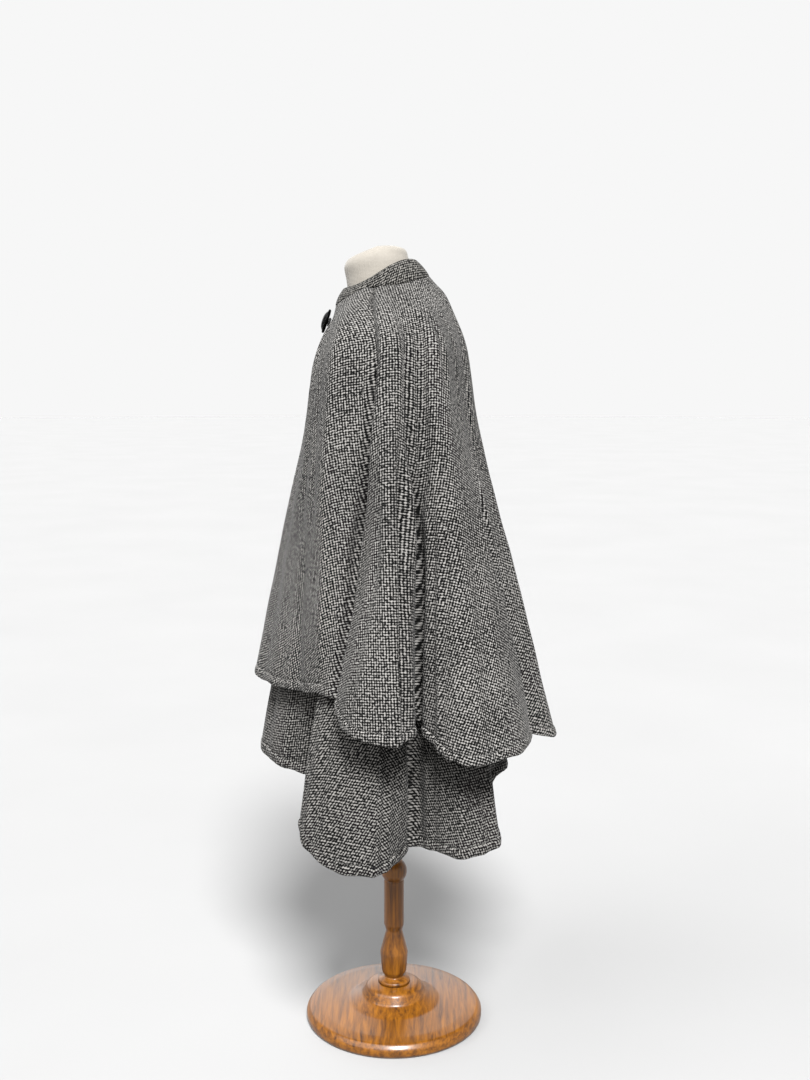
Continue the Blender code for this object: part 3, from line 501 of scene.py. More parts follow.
# The hidden rows keep the under-cape clear of the troughs in the over-cape above it.
UNDER_CREASES = (
    Crease("hidden_valley_1", 7.20, 0.08, 6.50, 0.74, 0.0280, -0.0140),
    Crease("hidden_valley_2", 10.00, 0.10, 10.00, 0.70, 0.0260, -0.0130),
    Crease("hidden_valley_2_low", 10.00, 0.34, 10.30, 1.10, 0.0260, -0.0200),
    Crease("hidden_valley_3", 13.50, 0.10, 13.80, 0.74, 0.0240, -0.0120),
    Crease("hidden_valley_5", 21.00, 0.14, 21.00, 0.74, 0.0220, -0.0090),
    Crease("hidden_valley_6", 23.45, 0.08, 24.00, 0.70, 0.0260, -0.0120),
    Crease("front_trough", 1.50, 0.50, 1.40, 1.12, 0.0200, -0.0036),
    Crease("flute_1_soft", 2.70, 0.55, 2.60, 1.12, 0.0150, -0.0034),
    Crease("valley_1_line", 4.00, 0.50, 4.00, 1.15, 0.0120, -0.0056),
    Crease("flute_2_edge", 5.15, 0.60, 5.05, 1.12, 0.0090, 0.0030),
    Crease("flute_2_face", 6.05, 0.60, 6.10, 1.12, 0.0190, -0.0040),
    Crease("flute_2_ridge", 7.10, 0.62, 7.00, 1.10, 0.0160, 0.0030),
    Crease("side_soft", 8.35, 0.62, 8.30, 1.12, 0.0100, -0.0040),
    Crease("valley_2_line", 9.70, 0.58, 9.80, 1.15, 0.0110, -0.0064),
    Crease("flute_3_face", 11.10, 0.60, 11.20, 1.12, 0.0140, -0.0040),
    Crease("flute_3_ridge", 12.00, 0.64, 12.10, 1.08, 0.0150, 0.0026),
    Crease("flute_3_back", 12.70, 0.66, 12.80, 1.12, 0.0130, -0.0034),
    Crease("valley_3_line", 13.90, 0.52, 14.00, 1.15, 0.0120, -0.0052),
    Crease("back_soft_1", 14.60, 0.56, 14.55, 1.12, 0.0150, -0.0030),
    Crease("back_trough", 16.10, 0.40, 16.00, 1.15, 0.0160, -0.0044),
    Crease("back_soft_2", 17.50, 0.58, 17.55, 1.12, 0.0150, -0.0030),
    Crease("valley_4_line", 18.10, 0.52, 18.00, 1.15, 0.0120, -0.0052),
    Crease("flute_6_face", 19.60, 0.62, 19.70, 1.12, 0.0160, -0.0040),
    Crease("valley_5_line", 21.10, 0.58, 21.00, 1.15, 0.0110, -0.0060),
    Crease("flute_7_face", 23.45, 0.60, 23.55, 1.12, 0.0170, -0.0042),
    Crease("flute_7_ridge", 22.90, 0.62, 23.00, 1.10, 0.0150, 0.0028),
    Crease("valley_6_line", 26.00, 0.50, 26.00, 1.15, 0.0120, -0.0056),
    Crease("right_soft", 26.60, 0.54, 26.70, 1.12, 0.0150, -0.0034),
    Crease("right_trough", 27.50, 0.52, 27.60, 1.12, 0.0190, -0.0036),
)

# Each cut piece runs from one fold line to another, and the last column is the share of the
# way across it at which the cloth's grain runs straight down.
Cut = namedtuple("Cut", "name tier first last grain_at")
CUTS = (
    Cut("under_front_left", "under", "front_edge_left", "side_seam_left", 0.0),
    Cut("under_back", "under", "side_seam_left", "side_seam_right", 0.5),
    Cut("under_front_right", "under", "side_seam_right", "front_edge_right", 1.0),
    Cut("over_front_left", "over", "front_edge_left", "side_seam_left", 1.0),
    Cut("over_back", "over", "side_seam_left", "side_seam_right", 0.0),
    Cut("over_front_right", "over", "side_seam_right", "front_edge_right", 0.0),
)
TIERS = {"over": OVER_TIER, "under": UNDER_TIER}
CREASES = {"over": OVER_CREASES, "under": UNDER_CREASES}


def smoothstep(low, high, value):
    """Runs from 0 at low to 1 at high with level ends: 3t^2 - 2t^3."""
    part = np.clip((value - low) / (high - low), 0.0, 1.0)
    return part * part * (3.0 - 2.0 * part)


def run_lengths(points, axis):
    """Distance run along an axis of a grid of points, from 0 at its first row or column."""
    steps = np.linalg.norm(np.diff(points, axis=axis), axis=-1)
    start = np.zeros_like(np.take(steps, [0], axis=axis))
    return np.concatenate([start, np.cumsum(steps, axis=axis)], axis=axis)


def fine_places(tier, first, last, spacing):
    """Columns of a fine panel: even along the hem, with closer ones next to both seams.

    The fold places are read back from the distance run along the hem and the middle line.
    """
    names = [fold.name for fold in tier.folds]
    place = np.linspace(names.index(first), names.index(last), 900)
    line = skin(tier, place, np.array([0.3, MID_STATION, 1.0]))
    run = run_lengths(line, 1).mean(axis=0)
    edge = np.array(SEAM_COLUMNS)
    middle = np.linspace(0.0095, run[-1] - 0.0095, int(run[-1] / spacing))
    return np.interp(np.concatenate([edge, middle, run[-1] - edge[::-1]]), run, place)


def fine_stations(tier):
    """Rows of a fine panel: even to the hem's band, then close enough for its stitching."""
    band = 0.024 / tier.length
    rows = np.linspace(0.0, 1.0 - band, DOWN_ROWS)
    return np.concatenate([rows[:-1], 1.0 - np.array(HEM_ROWS) / tier.length])


def crease_heights(tier, place, along):
    """Sum of the creases over a panel's grid, in metres along the cloth's normal.

    With d the distance across a crease over its width, its section is (1 - 1.6 d^2) exp(-d^2):
    a trough with a soft shoulder on each side, or a ridge with a hollow on each side. It
    rises and fades over the first and the last part of its length. Distances are read from
    a table of the tier's whole rows, so a crease runs on over a seam.
    """
    last = len(tier.folds) - 1
    table = run_lengths(skin(tier, np.linspace(0, last, last * TABLE_STEPS + 1), along), 1)
    rows = np.arange(len(along))
    total = np.zeros((len(along), len(place)))
    run = read_rows(table, rows[:, None], place[None, :])
    for crease in CREASES[tier.name]:
        share = (along - crease.from_along) / (crease.to_along - crease.from_along)
        centre = crease.from_place + (crease.to_place - crease.from_place) * np.clip(share, 0.0, 1.0)
        middle = read_rows(table, rows, centre) + 0.0018 * np.sin(17.0 * along + 5.3 * crease.from_place)
        fade = smoothstep(0.0, 0.25, share) * smoothstep(1.0, 0.72, share)
        across = ((run - middle[:, None]) / crease.width) ** 2
        total += crease.height * fade[:, None] * (1.0 - 1.6 * across) * np.exp(-across)
    return total


def read_rows(table, rows, place):
    """Value of a table's rows at places among the folds, between its even steps."""
    column = place * TABLE_STEPS
    low = np.minimum(column.astype(int), table.shape[1] - 2)
    part = column - low
    return table[rows, low] * (1.0 - part) + table[rows, low + 1] * part


def slack(points):
    """Slight unevenness of hanging cloth: slow waves of a few tenths of a millimetre."""
    x, y, z = points[..., 0], points[..., 1], points[..., 2]
    return 0.00030 * (
        np.sin(41.0 * x + 23.0 * z + 1.3 * np.sin(19.0 * y))
        + np.sin(37.0 * y - 31.0 * z + 0.7 + 1.1 * np.sin(27.0 * x))
        + 0.8 * np.sin(63.0 * z + 29.0 * x - 33.0 * y)
    )


def rounding(distance, radius, depth):
    """How far a face falls back near an edge, so that the edge is a quarter circle."""
    share = np.clip(1.0 - distance / radius, 0.0, 1.0)
    return depth * (1.0 - np.sqrt(1.0 - 0.96 * share ** 2))


def flat_pattern(cut, run_across, run_down):
    """Place of each point in the flat cut, in metres: a sector of a ring, seen flat.

    The rows' widths are fitted with a straight line over the distance down: its slope is the
    sector's angle, and its start over the slope is the neckline's radius. A point lies at
    its own distance down and, along the arc there, at its own distance across from the line
    on which the cloth's grain runs straight down.
    """
    width = run_across[:, -1:]
    down = run_down.mean(axis=1)
    sector, neck_width = np.polyfit(down, width[:, 0], 1, w=np.sqrt(np.gradient(down)))
    neck_radius = neck_width / sector
    radius = neck_radius + run_down
    turn = (run_across - cut.grain_at * width) / radius
    flat = np.stack([radius * np.sin(turn), -radius * np.cos(turn)], axis=-1)
    return flat, float(sector), float(neck_radius)


def shell_object(name, outer, inner, flat):
    """Closed shell between two grids of points, whose faces share one UV map: the flat cut."""
    rows, columns = outer.shape[:2]
    count = rows * columns
    number = np.arange(count).reshape(rows, columns)
    near, right = number[:-1, :-1], number[:-1, 1:]
    below, corner = number[1:, :-1], number[1:, 1:]
    face = np.stack([near, below, corner, right], axis=-1).reshape(-1, 4)
    back = face[:, ::-1] + count
    rims = (
        (number[0, :-1], number[0, 1:]),
        (number[-1, 1:], number[-1, :-1]),
        (number[1:, 0], number[:-1, 0]),
        (number[:-1, -1], number[1:, -1]),
    )
    rims = [np.stack([start, end, end + count, start + count], -1) for start, end in rims]
    faces = np.concatenate([face, back, *rims])
    points = np.concatenate([outer.reshape(-1, 3), inner.reshape(-1, 3)])
    mesh = bpy.data.meshes.new(name)
    mesh.vertices.add(len(points))
    mesh.vertices.foreach_set("co", points.astype(np.float32).ravel())
    mesh.loops.add(faces.size)
    mesh.loops.foreach_set("vertex_index", faces.astype(np.int32).ravel())
    mesh.polygons.add(len(faces))
    mesh.polygons.foreach_set("loop_start", np.arange(0, faces.size, 4, dtype=np.int32))
    mesh.polygons.foreach_set("use_smooth", np.ones(len(faces), dtype=bool))
    pairs = np.concatenate([flat.reshape(-1, 2)] * 2)
    layer = mesh.uv_layers.new(name="flat")
    layer.data.foreach_set("uv", pairs[faces.ravel()].astype(np.float32).ravel())
    mesh.update(calc_edges=True)
    mesh.validate()
    piece = bpy.data.objects.new(name, mesh)
    bpy.context.scene.collection.objects.link(piece)
    return piece


def finish_piece(piece, material, slot, *nodes):
    """Give a piece its material, hide the CAD nodes that it stands for and attach it to its body. The slot
    is not used.
    """
    piece.data.materials.append(material)
    if nodes:
        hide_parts(*nodes)
    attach(piece, "root")
    return piece


def build_panel(cut, material, thread):
    """One cut piece of a tier as a fine shell, with its turned hem and the hem's stitches."""
    tier = TIERS[cut.tier]
    place = fine_places(tier, cut.first, cut.last, COLUMN_SPACING)
    along = fine_stations(tier)
    base = skin(tier, place, along)
    normal = skin_normal(tier, place, along)
    run_across = run_lengths(base, 1)
    run_down = run_lengths(base, 0)
    to_hem = run_down[-1:] - run_down
    to_seam = np.minimum(run_across, run_across[:, -1:] - run_across)
    heights = crease_heights(tier, place, along) + slack(base)
    far = np.ones_like(run_across)
    to_front = np.minimum(
        run_across if "edge" in cut.first else far,
        run_across[:, -1:] - run_across if "edge" in cut.last else far,
    )
    hang = smoothstep(0.05, 0.20, along)[:, None]
    to_band = np.minimum(to_hem, to_front + 0.004)
    puff = HEM_PUFF * np.sin(math.pi * np.clip(to_band / HEM_BAND, 0.0, 1.0)) ** 0.7
    groove = GROOVE_DEPTH * np.exp(-(((to_band - GROOVE_PLACE) / GROOVE_WIDTH) ** 2))
    ripple = HEM_RIPPLE * np.sin(run_across * 620.0 + 2.0 * np.sin(run_across * 71.0))
    lip = heights + puff * hang - groove * hang + ripple * smoothstep(0.016, 0.003, to_hem)
    edge = np.minimum(to_hem, to_seam)
    fall = rounding(edge, EDGE_RADIUS, CLOTH_THICKNESS / 2.0)
    seam = SEAM_DEPTH * np.exp(-((to_seam / SEAM_WIDTH) ** 2)) * smoothstep(0.0, 0.01, to_front)
    outer = base + normal * (lip - fall - seam)[..., None]
    inner = base + normal * (heights - CLOTH_THICKNESS - 0.6 * puff + fall)[..., None]
    for side, neighbour in ((0, 1), (-1, -2)):
        towards = base[:, neighbour] - base[:, side]
        towards /= np.linalg.norm(towards, axis=-1, keepdims=True)
        outer[:, side] += towards * SEAM_LINE / 2.0
        inner[:, side] += towards * SEAM_LINE / 2.0
    sag = HEM_SAG * (np.sin(run_across * 83.0) + np.sin(run_across * 131.0 + 1.9))
    drop = sag * smoothstep(0.030, 0.0, to_hem)
    outer[..., 2] += drop
    inner[..., 2] += drop
    flat, sector, neck_radius = flat_pattern(cut, run_across, run_down)
    piece = shell_object(f"{cut.name}_cloth", outer, inner, flat)
    finish_piece(piece, material, f"{cut.tier}_cape_wool", cut.name)
    stitches = build_stitches(cut, outer, normal, run_across, to_hem, thread)
    return piece


def build_stitches(cut, outer, normal, run_across, to_hem, thread):
    """Short stitches in the groove above the hem: small spindles laid along the band's seam."""
    row = int(np.argmin(np.abs(to_hem.mean(axis=1) - STITCH_PLACE)))
    line = outer[row]
    run = run_across[row]
    middle = np.arange(0.006, run[-1] - 0.006, STITCH_PITCH)
    half = STITCH_HALF + 0.0004 * np.sin(middle * 911.0)
    ends = [
        np.stack([np.interp(middle + side * half, run, line[:, axis]) for axis in range(3)], -1)
        for side in (-1.0, 1.0)
    ]
    out = np.stack([np.interp(middle, run, normal[row, :, axis]) for axis in range(3)], -1)
    out /= np.linalg.norm(out, axis=-1, keepdims=True)
    tangent = ends[1] - ends[0]
    tangent /= np.linalg.norm(tangent, axis=-1, keepdims=True)
    across = np.cross(out, tangent)
    centre = (ends[0] + ends[1]) / 2.0 + out * 0.0005
    span = (np.linalg.norm(ends[1] - ends[0], axis=-1) / 2.0)[:, None]
    turn = np.radians(np.arange(5) * 72.0)[None, :, None]
    circle = np.cos(turn) * across[:, None] + np.sin(turn) * out[:, None]
    rings = np.stack([
        centre[:, None] + tangent[:, None] * span[:, None] * place + radius * circle
        for place, radius in STITCH_PROFILE
    ], axis=1)
    return tube_set(f"{cut.name}_hem_stitches", rings, thread, f"{cut.tier}_cape_wool")


def smooth_object(name, rings, faces):
    """Smooth piece from an array of points and its faces."""
    mesh = bpy.data.meshes.new(name)
    mesh.from_pydata(rings.reshape(-1, 3).tolist(), [], faces)
    mesh.shade_smooth()
    mesh.update()
    piece = bpy.data.objects.new(name, mesh)
    bpy.context.scene.collection.objects.link(piece)
    return piece


def tube_set(name, rings, material, slot, *nodes):
    """Many closed tubes in one piece: an array of tubes, rings, points round and xyz."""
    tubes, count, round_points = rings.shape[:3]
    number = np.arange(tubes * count * round_points).reshape(tubes, count, round_points)
    following = np.roll(number, -1, axis=2)
    sides = np.stack([number[:, :-1], following[:, :-1], following[:, 1:], number[:, 1:]], -1)
    faces = sides.reshape(-1, 4).tolist() + number[:, 0, ::-1].tolist() + number[:, -1].tolist()
    return finish_piece(smooth_object(name, rings, faces), material, slot, *nodes)


def ring_object(name, rings, material, slot, *nodes):
    """Smooth closed piece through a grid of rings, whose first and last rings are capped."""
    count, columns = rings.shape[:2]
    number = np.arange(count * columns).reshape(count, columns)
    following = np.roll(number, -1, axis=1)
    sides = np.stack([number[:-1], number[1:], following[1:], following[:-1]], axis=-1)
    faces = sides.reshape(-1, 4).tolist() + [number[0].tolist(), number[-1, ::-1].tolist()]
    return finish_piece(smooth_object(name, rings, faces), material, slot, *nodes)


def turned_rings(profile, radius_step):
    """Rings of a turned shape, with curved steps between its profile's rows.

    Between two rows the radius follows a straight line, and each corner is rounded by a
    quadratic curve that starts and ends radius_step from it.
    """
    outline = np.array([(row.radius, row.height) for row in profile])
    line = [outline[0]]
    for before, corner, after in zip(outline, outline[1:], outline[2:]):
        start, stop = (
            corner + (end - corner) * min(radius_step / max(np.linalg.norm(end - corner), 1e-9), 0.48)
            for end in (before, after)
        )
        for part in np.linspace(0.0, 1.0, 5):
            line.append(start * (1 - part) ** 2 + corner * 2 * part * (1 - part) + stop * part ** 2)
    line.append(outline[-1])
    line = np.array(line)
    turn = np.radians(np.arange(ROUND_STEPS) * 360.0 / ROUND_STEPS)
    return np.stack([
        line[:, :1] * np.cos(turn), line[:, :1] * np.sin(turn), np.repeat(line[:, 1:], ROUND_STEPS, axis=1)
    ], axis=-1)


def build_collar(material):
    """Narrow stand collar: a fine band with a rolled top edge and a shoulder seam."""
    angle = np.linspace(COLLAR_OPENING, 360.0 - COLLAR_OPENING, 261)
    both_tiers = 2.0 * CLOTH_THICKNESS + LAYER_GAP
    upwards = shoulder_line(0, angle, 0.0) - shoulder_line(1, angle, 0.0)
    upwards /= np.linalg.norm(upwards, axis=-1, keepdims=True)
    outer_foot = shoulder_line(0, angle, 0.0) + upwards * COLLAR_SEAM_GAP
    inner_foot = shoulder_line(0, angle, both_tiers) + upwards * COLLAR_SEAM_GAP
    outer_top = level_line(COLLAR_TOP, angle, dipped)
    inner_level = COLLAR_TOP._replace(
        front_y=COLLAR_TOP.front_y + COLLAR_THICKNESS,
        back_y=COLLAR_TOP.back_y - COLLAR_THICKNESS,
        half_width=COLLAR_TOP.half_width - COLLAR_THICKNESS,
        front_z=COLLAR_TOP.front_z - COLLAR_ROLL_FRONT,
        side_z=COLLAR_TOP.side_z - COLLAR_ROLL_SIDE,
        back_z=COLLAR_TOP.back_z - COLLAR_ROLL_BACK,
    )
    inner_top = level_line(inner_level, angle, dipped)
    turn = np.radians(angle)
    outward = np.stack([np.sin(turn), -np.cos(turn), 0.0 * turn], axis=-1)
    row = np.concatenate([np.linspace(0.0, 0.86, 26), [0.90, 0.94, 0.97, 0.985, 0.995, 1.0]])
    swell = COLLAR_SWELL * np.sin(math.pi * row ** 0.9) ** 0.8
    roll = rounding((1.0 - row) * COLLAR_HEIGHT, 0.0022, COLLAR_THICKNESS / 2.0)
    foot = rounding(row * COLLAR_HEIGHT, 0.0012, 0.0010)
    seams = sum(
        COLLAR_SEAM_DEPTH * np.exp(-(((angle - place) * COLLAR_ARC_PER_DEGREE) / COLLAR_SEAM_WIDTH) ** 2)
        for place in COLLAR_SEAMS
    )
    ease = 0.0005 * np.sin(np.radians(angle) * 7.0) * np.sin(math.pi * row)[:, None]
    stand = swell[:, None] + ease - roll[:, None] - foot[:, None] - seams
    share = row[:, None, None]
    outer = outer_foot * (1.0 - share) + outer_top * share + outward * stand[..., None]
    inner = inner_foot * (1.0 - share) + inner_top * share + outward * roll[:, None, None]
    outer, inner = outer[::-1], inner[::-1]
    run_across = run_lengths(outer, 1)
    run_down = run_lengths(outer, 0)
    piece = shell_object("collar_band", outer, inner, np.stack([run_across, -run_down], axis=-1))
    finish_piece(piece, material, "collar_wool", "collar")
    return piece


def build_dress_form(material):
    """Limbless torso with a closed neck: the CAD levels joined by smooth lines, finely cut."""
    angle = np.arange(FORM_STEPS) * 360.0 / FORM_STEPS
    depth = 2.0 * CLOTH_THICKNESS + LAYER_GAP
    shoulder = np.array([shoulder_line(index, angle, depth + ease) for index, ease in enumerate(FORM_EASE)])
    stations = [ring.along for ring in RINGS]
    along = np.linspace(0.0, 0.165, 30)
    over = down_the_skin(shoulder, stations, along)
    neck = [level_line(level, angle, tilted) for level in reversed(NECK_LEVELS)]
    torso = [level_line(level, angle) for level in FORM_LEVELS]
    upper = smooth_rows(np.array(neck + [over[0]]), 6)[:-1]
    lower = smooth_rows(np.array([over[-2], over[-1]] + torso[:-1]), 7)[7:]
    rings = np.concatenate([upper, over[:-1], lower, np.array(torso[-1:])])
    return ring_object("dress_form_cover", rings, material, "form_linen", "dress_form")


def smooth_rows(rings, steps):
    """Rings with further ones between them, on a cubic through each row's neighbours."""
    distance = np.linalg.norm(np.diff(rings, axis=0), axis=-1).mean(axis=1)
    stations = np.concatenate([[0.0], np.cumsum(distance)])
    along = np.concatenate([
        np.linspace(first, last, steps, endpoint=False) for first, last in zip(stations, stations[1:])
    ] + [stations[-1:]])
    return down_the_skin(rings, stations, along)


def front_frame():
    """Point of the left front where the button sits, and its outward, up and side axes."""
    place = np.array([BUTTON_PLACE])
    along = np.array([BUTTON_STATION])
    point = skin(OVER_TIER, place, along)[0, 0]
    outward = skin_normal(OVER_TIER, place, along)[0, 0] * np.array([1.0, 1.0, BUTTON_LEAN])
    outward /= np.linalg.norm(outward)
    side = np.cross(np.array([0.0, 0.0, 1.0]), outward)
    side /= np.linalg.norm(side)
    return point, outward, np.cross(outward, side), side


def build_button(material):
    """Moulded button: its profile of radius and height turned about its own axis."""
    point, outward, up, side = front_frame()
    turn = np.radians(np.arange(72) * 5.0)
    circle = np.cos(turn)[:, None] * side + np.sin(turn)[:, None] * up
    rings = np.array([point + circle * row.radius + outward * row.height for row in BUTTON_PROFILE])
    return ring_object("button_moulded", rings[::-1], material, "black_button", "button")


def build_loop(material):
    """Cord loop round the shank: three strands twisted about the loop's own line.

    A strand's centre runs 0.44 of the cord's radius off the line and turns once for each
    LOOP_TWIST along it, so the outline is the cord's.
    """
    point, outward, up, side = front_frame()
    reach = SHANK_RADIUS + LOOP_CORD_RADIUS + LOOP_EASE
    stand = LOOP_CORD_RADIUS + SEAM_GAP + LOOP_STAND
    bend = np.radians(np.linspace(-90.0, 90.0, 41))
    tail = np.linspace(-LOOP_TAIL, -0.0004, 40)
    waist = 1.0 - (1.0 - LOOP_WAIST) * smoothstep(-LOOP_TAIL / 2.0, -LOOP_TAIL, tail)
    across = np.concatenate([tail, reach * np.cos(bend), tail[::-1]])
    high = np.concatenate([-reach * waist, reach * np.sin(bend), reach * waist[::-1]])
    line = point + outward * stand + across[:, None] * side + high[:, None] * up
    tangent = np.gradient(line, axis=0)
    tangent /= np.linalg.norm(tangent, axis=1, keepdims=True)
    inward = np.cross(outward[None], tangent)
    run = np.concatenate([[0.0], np.cumsum(np.linalg.norm(np.diff(line, axis=0), axis=1))])
    round_turn = np.radians(np.arange(8) * 45.0)[None, :, None]
    ring = np.cos(round_turn) * inward[:, None] + np.sin(round_turn) * outward
    strands = []
    for strand in range(3):
        turn = run / LOOP_TWIST * 2.0 * math.pi + strand * 2.0 * math.pi / 3.0
        centre = line + LOOP_CORD_RADIUS * 0.44 * (
            np.cos(turn)[:, None] * inward + np.sin(turn)[:, None] * outward
        )
        strands.append(centre[:, None] + ring * LOOP_CORD_RADIUS * 0.55)
    return tube_set("button_loop_cord", np.array(strands), material, "black_cord", "button_loop")


def build_post(wood):
    """Turned post, ball and column as one fine lathe shape."""
    turns = np.radians(np.linspace(BALL_TOP_ANGLE, BALL_FOOT_ANGLE, 22))
    ball = tuple(
        Turning("ball", BALL_RADIUS * math.sin(turn), BALL_HEIGHT + BALL_RADIUS * math.cos(turn))
        for turn in turns
    )
    rings = turned_rings(POST_PROFILE + ball + COLUMN_PROFILE, POST_ROUNDING)
    return ring_object("stand_post_turned", rings, wood, "turned_wood", "stand_post")


def build_base(wood):
    """Round foot, turned from one board, with its edges softened."""
    rings = turned_rings(BASE_PROFILE, BASE_ROUNDING)
    return ring_object("stand_base_turned", rings, wood, "turned_wood", "stand_base")


def colour(code):
    """sRGB hex colour as a linear RGBA value."""
    parts = [int(code[at:at + 2], 16) / 255.0 for at in (0, 2, 4)]
    return (*[part / 12.92 if part <= 0.04045 else ((part + 0.055) / 1.055) ** 2.4 for part in parts], 1.0)


def add_node(tree, kind, links=(), settings=(), **values):
    """Adds a shader node with its settings, its sockets' values and its links from others."""
    item = tree.nodes.new(kind)
    for name, value in dict(settings).items():
        setattr(item, name, value)
    for name, value in values.items():
        key = int(name[1:]) if name[0] == "i" and name[1:].isdigit() else name.replace("_", " ").strip()
        item.inputs[key].default_value = value
    for target, source in dict(links).items():
        tree.links.new(source, item.inputs[target])
    return item


def new_material(name, **values):
    """Material with a Principled shader whose uniform values sit on its own sockets."""
    material = bpy.data.materials.new(name)
    material.use_nodes = True
    shader = material.node_tree.nodes["Principled BSDF"]
    for key, value in values.items():
        shader.inputs[key.replace("_", " ")].default_value = value
    return material, material.node_tree, shader


def ramp_colours(ramp, stops):
    """Sets a colour ramp's stops: pairs of place and hex colour."""
    band = ramp.color_ramp
    while len(band.elements) < len(stops):
        band.elements.new(0.5)
    for element, (place, code) in zip(band.elements, stops):
        element.position = place
        element.color = colour(code)


def link_noise_colour(tree, shader, stops, **noise):
    """Base colour from noise over the object's own coordinates. Gives the noise node."""
    place = add_node(tree, "ShaderNodeTexCoord")
    cloud = add_node(tree, "ShaderNodeTexNoise", {"Vector": place.outputs["Object"]}, **noise)
    link_ramp(tree, shader, cloud.outputs["Fac"], stops)
    return cloud


def link_ramp(tree, shader, share, stops):
    """Base colour from a colour ramp over a share."""
    ramp = add_node(tree, "ShaderNodeValToRGB", {0: share})
    ramp_colours(ramp, stops)
    tree.links.new(ramp.outputs["Color"], shader.inputs["Base Color"])


def link_bump(tree, shader, height, strength, distance):
    """Fine relief from a height."""
    bump = add_node(tree, "ShaderNodeBump", {"Height": height}, Strength=strength, Distance=distance)
    tree.links.new(bump.outputs["Normal"], shader.inputs["Normal"])


def wool_cloth(name, across, down, tones, drift):
    """Woven wool whose pale floats stand where a thread of the warp and one of the weft cross.

    With u and v in turns of the repeat across and down, sin(u) + sin(v) gives rows of floats
    both ways. Slub noise about as fine as the repeat breaks them up as uneven yarn does, a
    slow noise bends the threads and another, by its drift, makes the cloth lighter and darker
    over a hand's width.
    """
    material, tree, shader = new_material(
        name, Roughness=0.92, IOR=1.5, Sheen_Weight=0.03, Sheen_Roughness=0.5)
    shader.inputs["Specular IOR Level"].default_value = 0.08
    flat = add_node(tree, "ShaderNodeUVMap", settings={"uv_map": "flat"})
    bend = add_node(tree, "ShaderNodeTexNoise", {"Vector": flat.outputs["UV"]}, Scale=38.0, Detail=2.0)
    shift = add_node(tree, "ShaderNodeVectorMath", {0: bend.outputs["Color"]},
                     {"operation": "MULTIPLY_ADD"}, i1=(0.0016, 0.0016, 0.0), i2=(-0.0008, -0.0008, 0.0))
    threads = add_node(tree, "ShaderNodeVectorMath",
                       {0: flat.outputs["UV"], 1: shift.outputs[0]}, {"operation": "ADD"})
    turns = add_node(tree, "ShaderNodeVectorMath", {0: threads.outputs[0]}, {"operation": "MULTIPLY"},
                     i1=(2.0 * math.pi / across, 2.0 * math.pi / down, 0.0))
    waves = add_node(tree, "ShaderNodeVectorMath", {0: turns.outputs[0]}, {"operation": "SINE"})
    split = add_node(tree, "ShaderNodeSeparateXYZ", {0: waves.outputs[0]})
    sides = add_node(tree, "ShaderNodeMath", {0: split.outputs[0], 1: split.outputs[1]},
                     {"operation": "ADD"})
    floats = add_node(tree, "ShaderNodeMath", {0: sides.outputs[0]}, {"operation": "MULTIPLY"}, i1=0.85)
    slub_place = add_node(tree, "ShaderNodeVectorMath", {0: flat.outputs["UV"]}, {"operation": "MULTIPLY"},
                          i1=(240.0, 260.0, 1.0))
    slub = add_node(tree, "ShaderNodeTexNoise", {"Vector": slub_place.outputs[0]}, Scale=1.0, Detail=2.0,
                    Roughness=0.6)
    uneven = add_node(tree, "ShaderNodeMath", {0: slub.outputs["Fac"]}, {"operation": "MULTIPLY_ADD"},
                      i1=8.0, i2=-4.0)
    height = add_node(tree, "ShaderNodeMath", {0: floats.outputs[0], 1: uneven.outputs[0]},
                      {"operation": "ADD"})
    slow = add_node(tree, "ShaderNodeTexNoise", {"Vector": flat.outputs["UV"]}, Scale=9.0, Detail=4.0)
    tone = add_node(tree, "ShaderNodeMath", {0: slow.outputs["Fac"], 2: height.outputs[0]},
                    {"operation": "MULTIPLY_ADD"}, i1=drift)
    share = add_node(tree, "ShaderNodeMapRange", {"Value": tone.outputs[0]},
                     From_Min=-2.5 + drift / 2.0, From_Max=2.5 + drift / 2.0)
    link_ramp(tree, shader, share.outputs[0], tones)
    fuzz = add_node(tree, "ShaderNodeTexNoise", {"Vector": flat.outputs["UV"]}, Scale=900.0, Detail=2.0)
    relief = add_node(tree, "ShaderNodeMath", {0: fuzz.outputs["Fac"], 2: height.outputs[0]},
                      {"operation": "MULTIPLY_ADD"}, i1=0.8)
    link_bump(tree, shader, relief.outputs[0], 0.20, 0.0005)
    return material


def spun_thread(name, dark, pale):
    """Spun thread or cord: a matt, slightly hairy yarn that catches a little light along its top."""
    material, tree, shader = new_material(name, Roughness=0.8, Sheen_Weight=0.3)
    ply = link_noise_colour(tree, shader, ((0.3, dark), (0.7, pale)), Scale=700.0, Detail=2.0)
    link_bump(tree, shader, ply.outputs["Fac"], 0.4, 0.0003)
    return material


def form_linen():
    """Cream cotton cover of the form, matt and a little darker in patches.

    Its plain weave is drawn at a repeat of 2.2 mm, twice the real one, so that it shows.
    """
    material, tree, shader = new_material("form_cover_cotton", Roughness=0.85, Sheen_Weight=0.12)
    link_noise_colour(tree, shader, ((0.3, "7a756d"), (0.7, "847f77")), Scale=22.0, Detail=4.0)
    place = add_node(tree, "ShaderNodeTexCoord")
    turns = add_node(tree, "ShaderNodeVectorMath", {0: place.outputs["Object"]}, {"operation": "SCALE"})
    turns.inputs["Scale"].default_value = 2.0 * math.pi / 0.0022
    waves = add_node(tree, "ShaderNodeVectorMath", {0: turns.outputs[0]}, {"operation": "SINE"})
    split = add_node(tree, "ShaderNodeSeparateXYZ", {0: waves.outputs[0]})
    height = split.outputs[0]
    for other in split.outputs[1:]:
        height = add_node(tree, "ShaderNodeMath", {0: height, 1: other}, {"operation": "ADD"}).outputs[0]
    link_bump(tree, shader, height, 0.25, 0.0002)
    return material


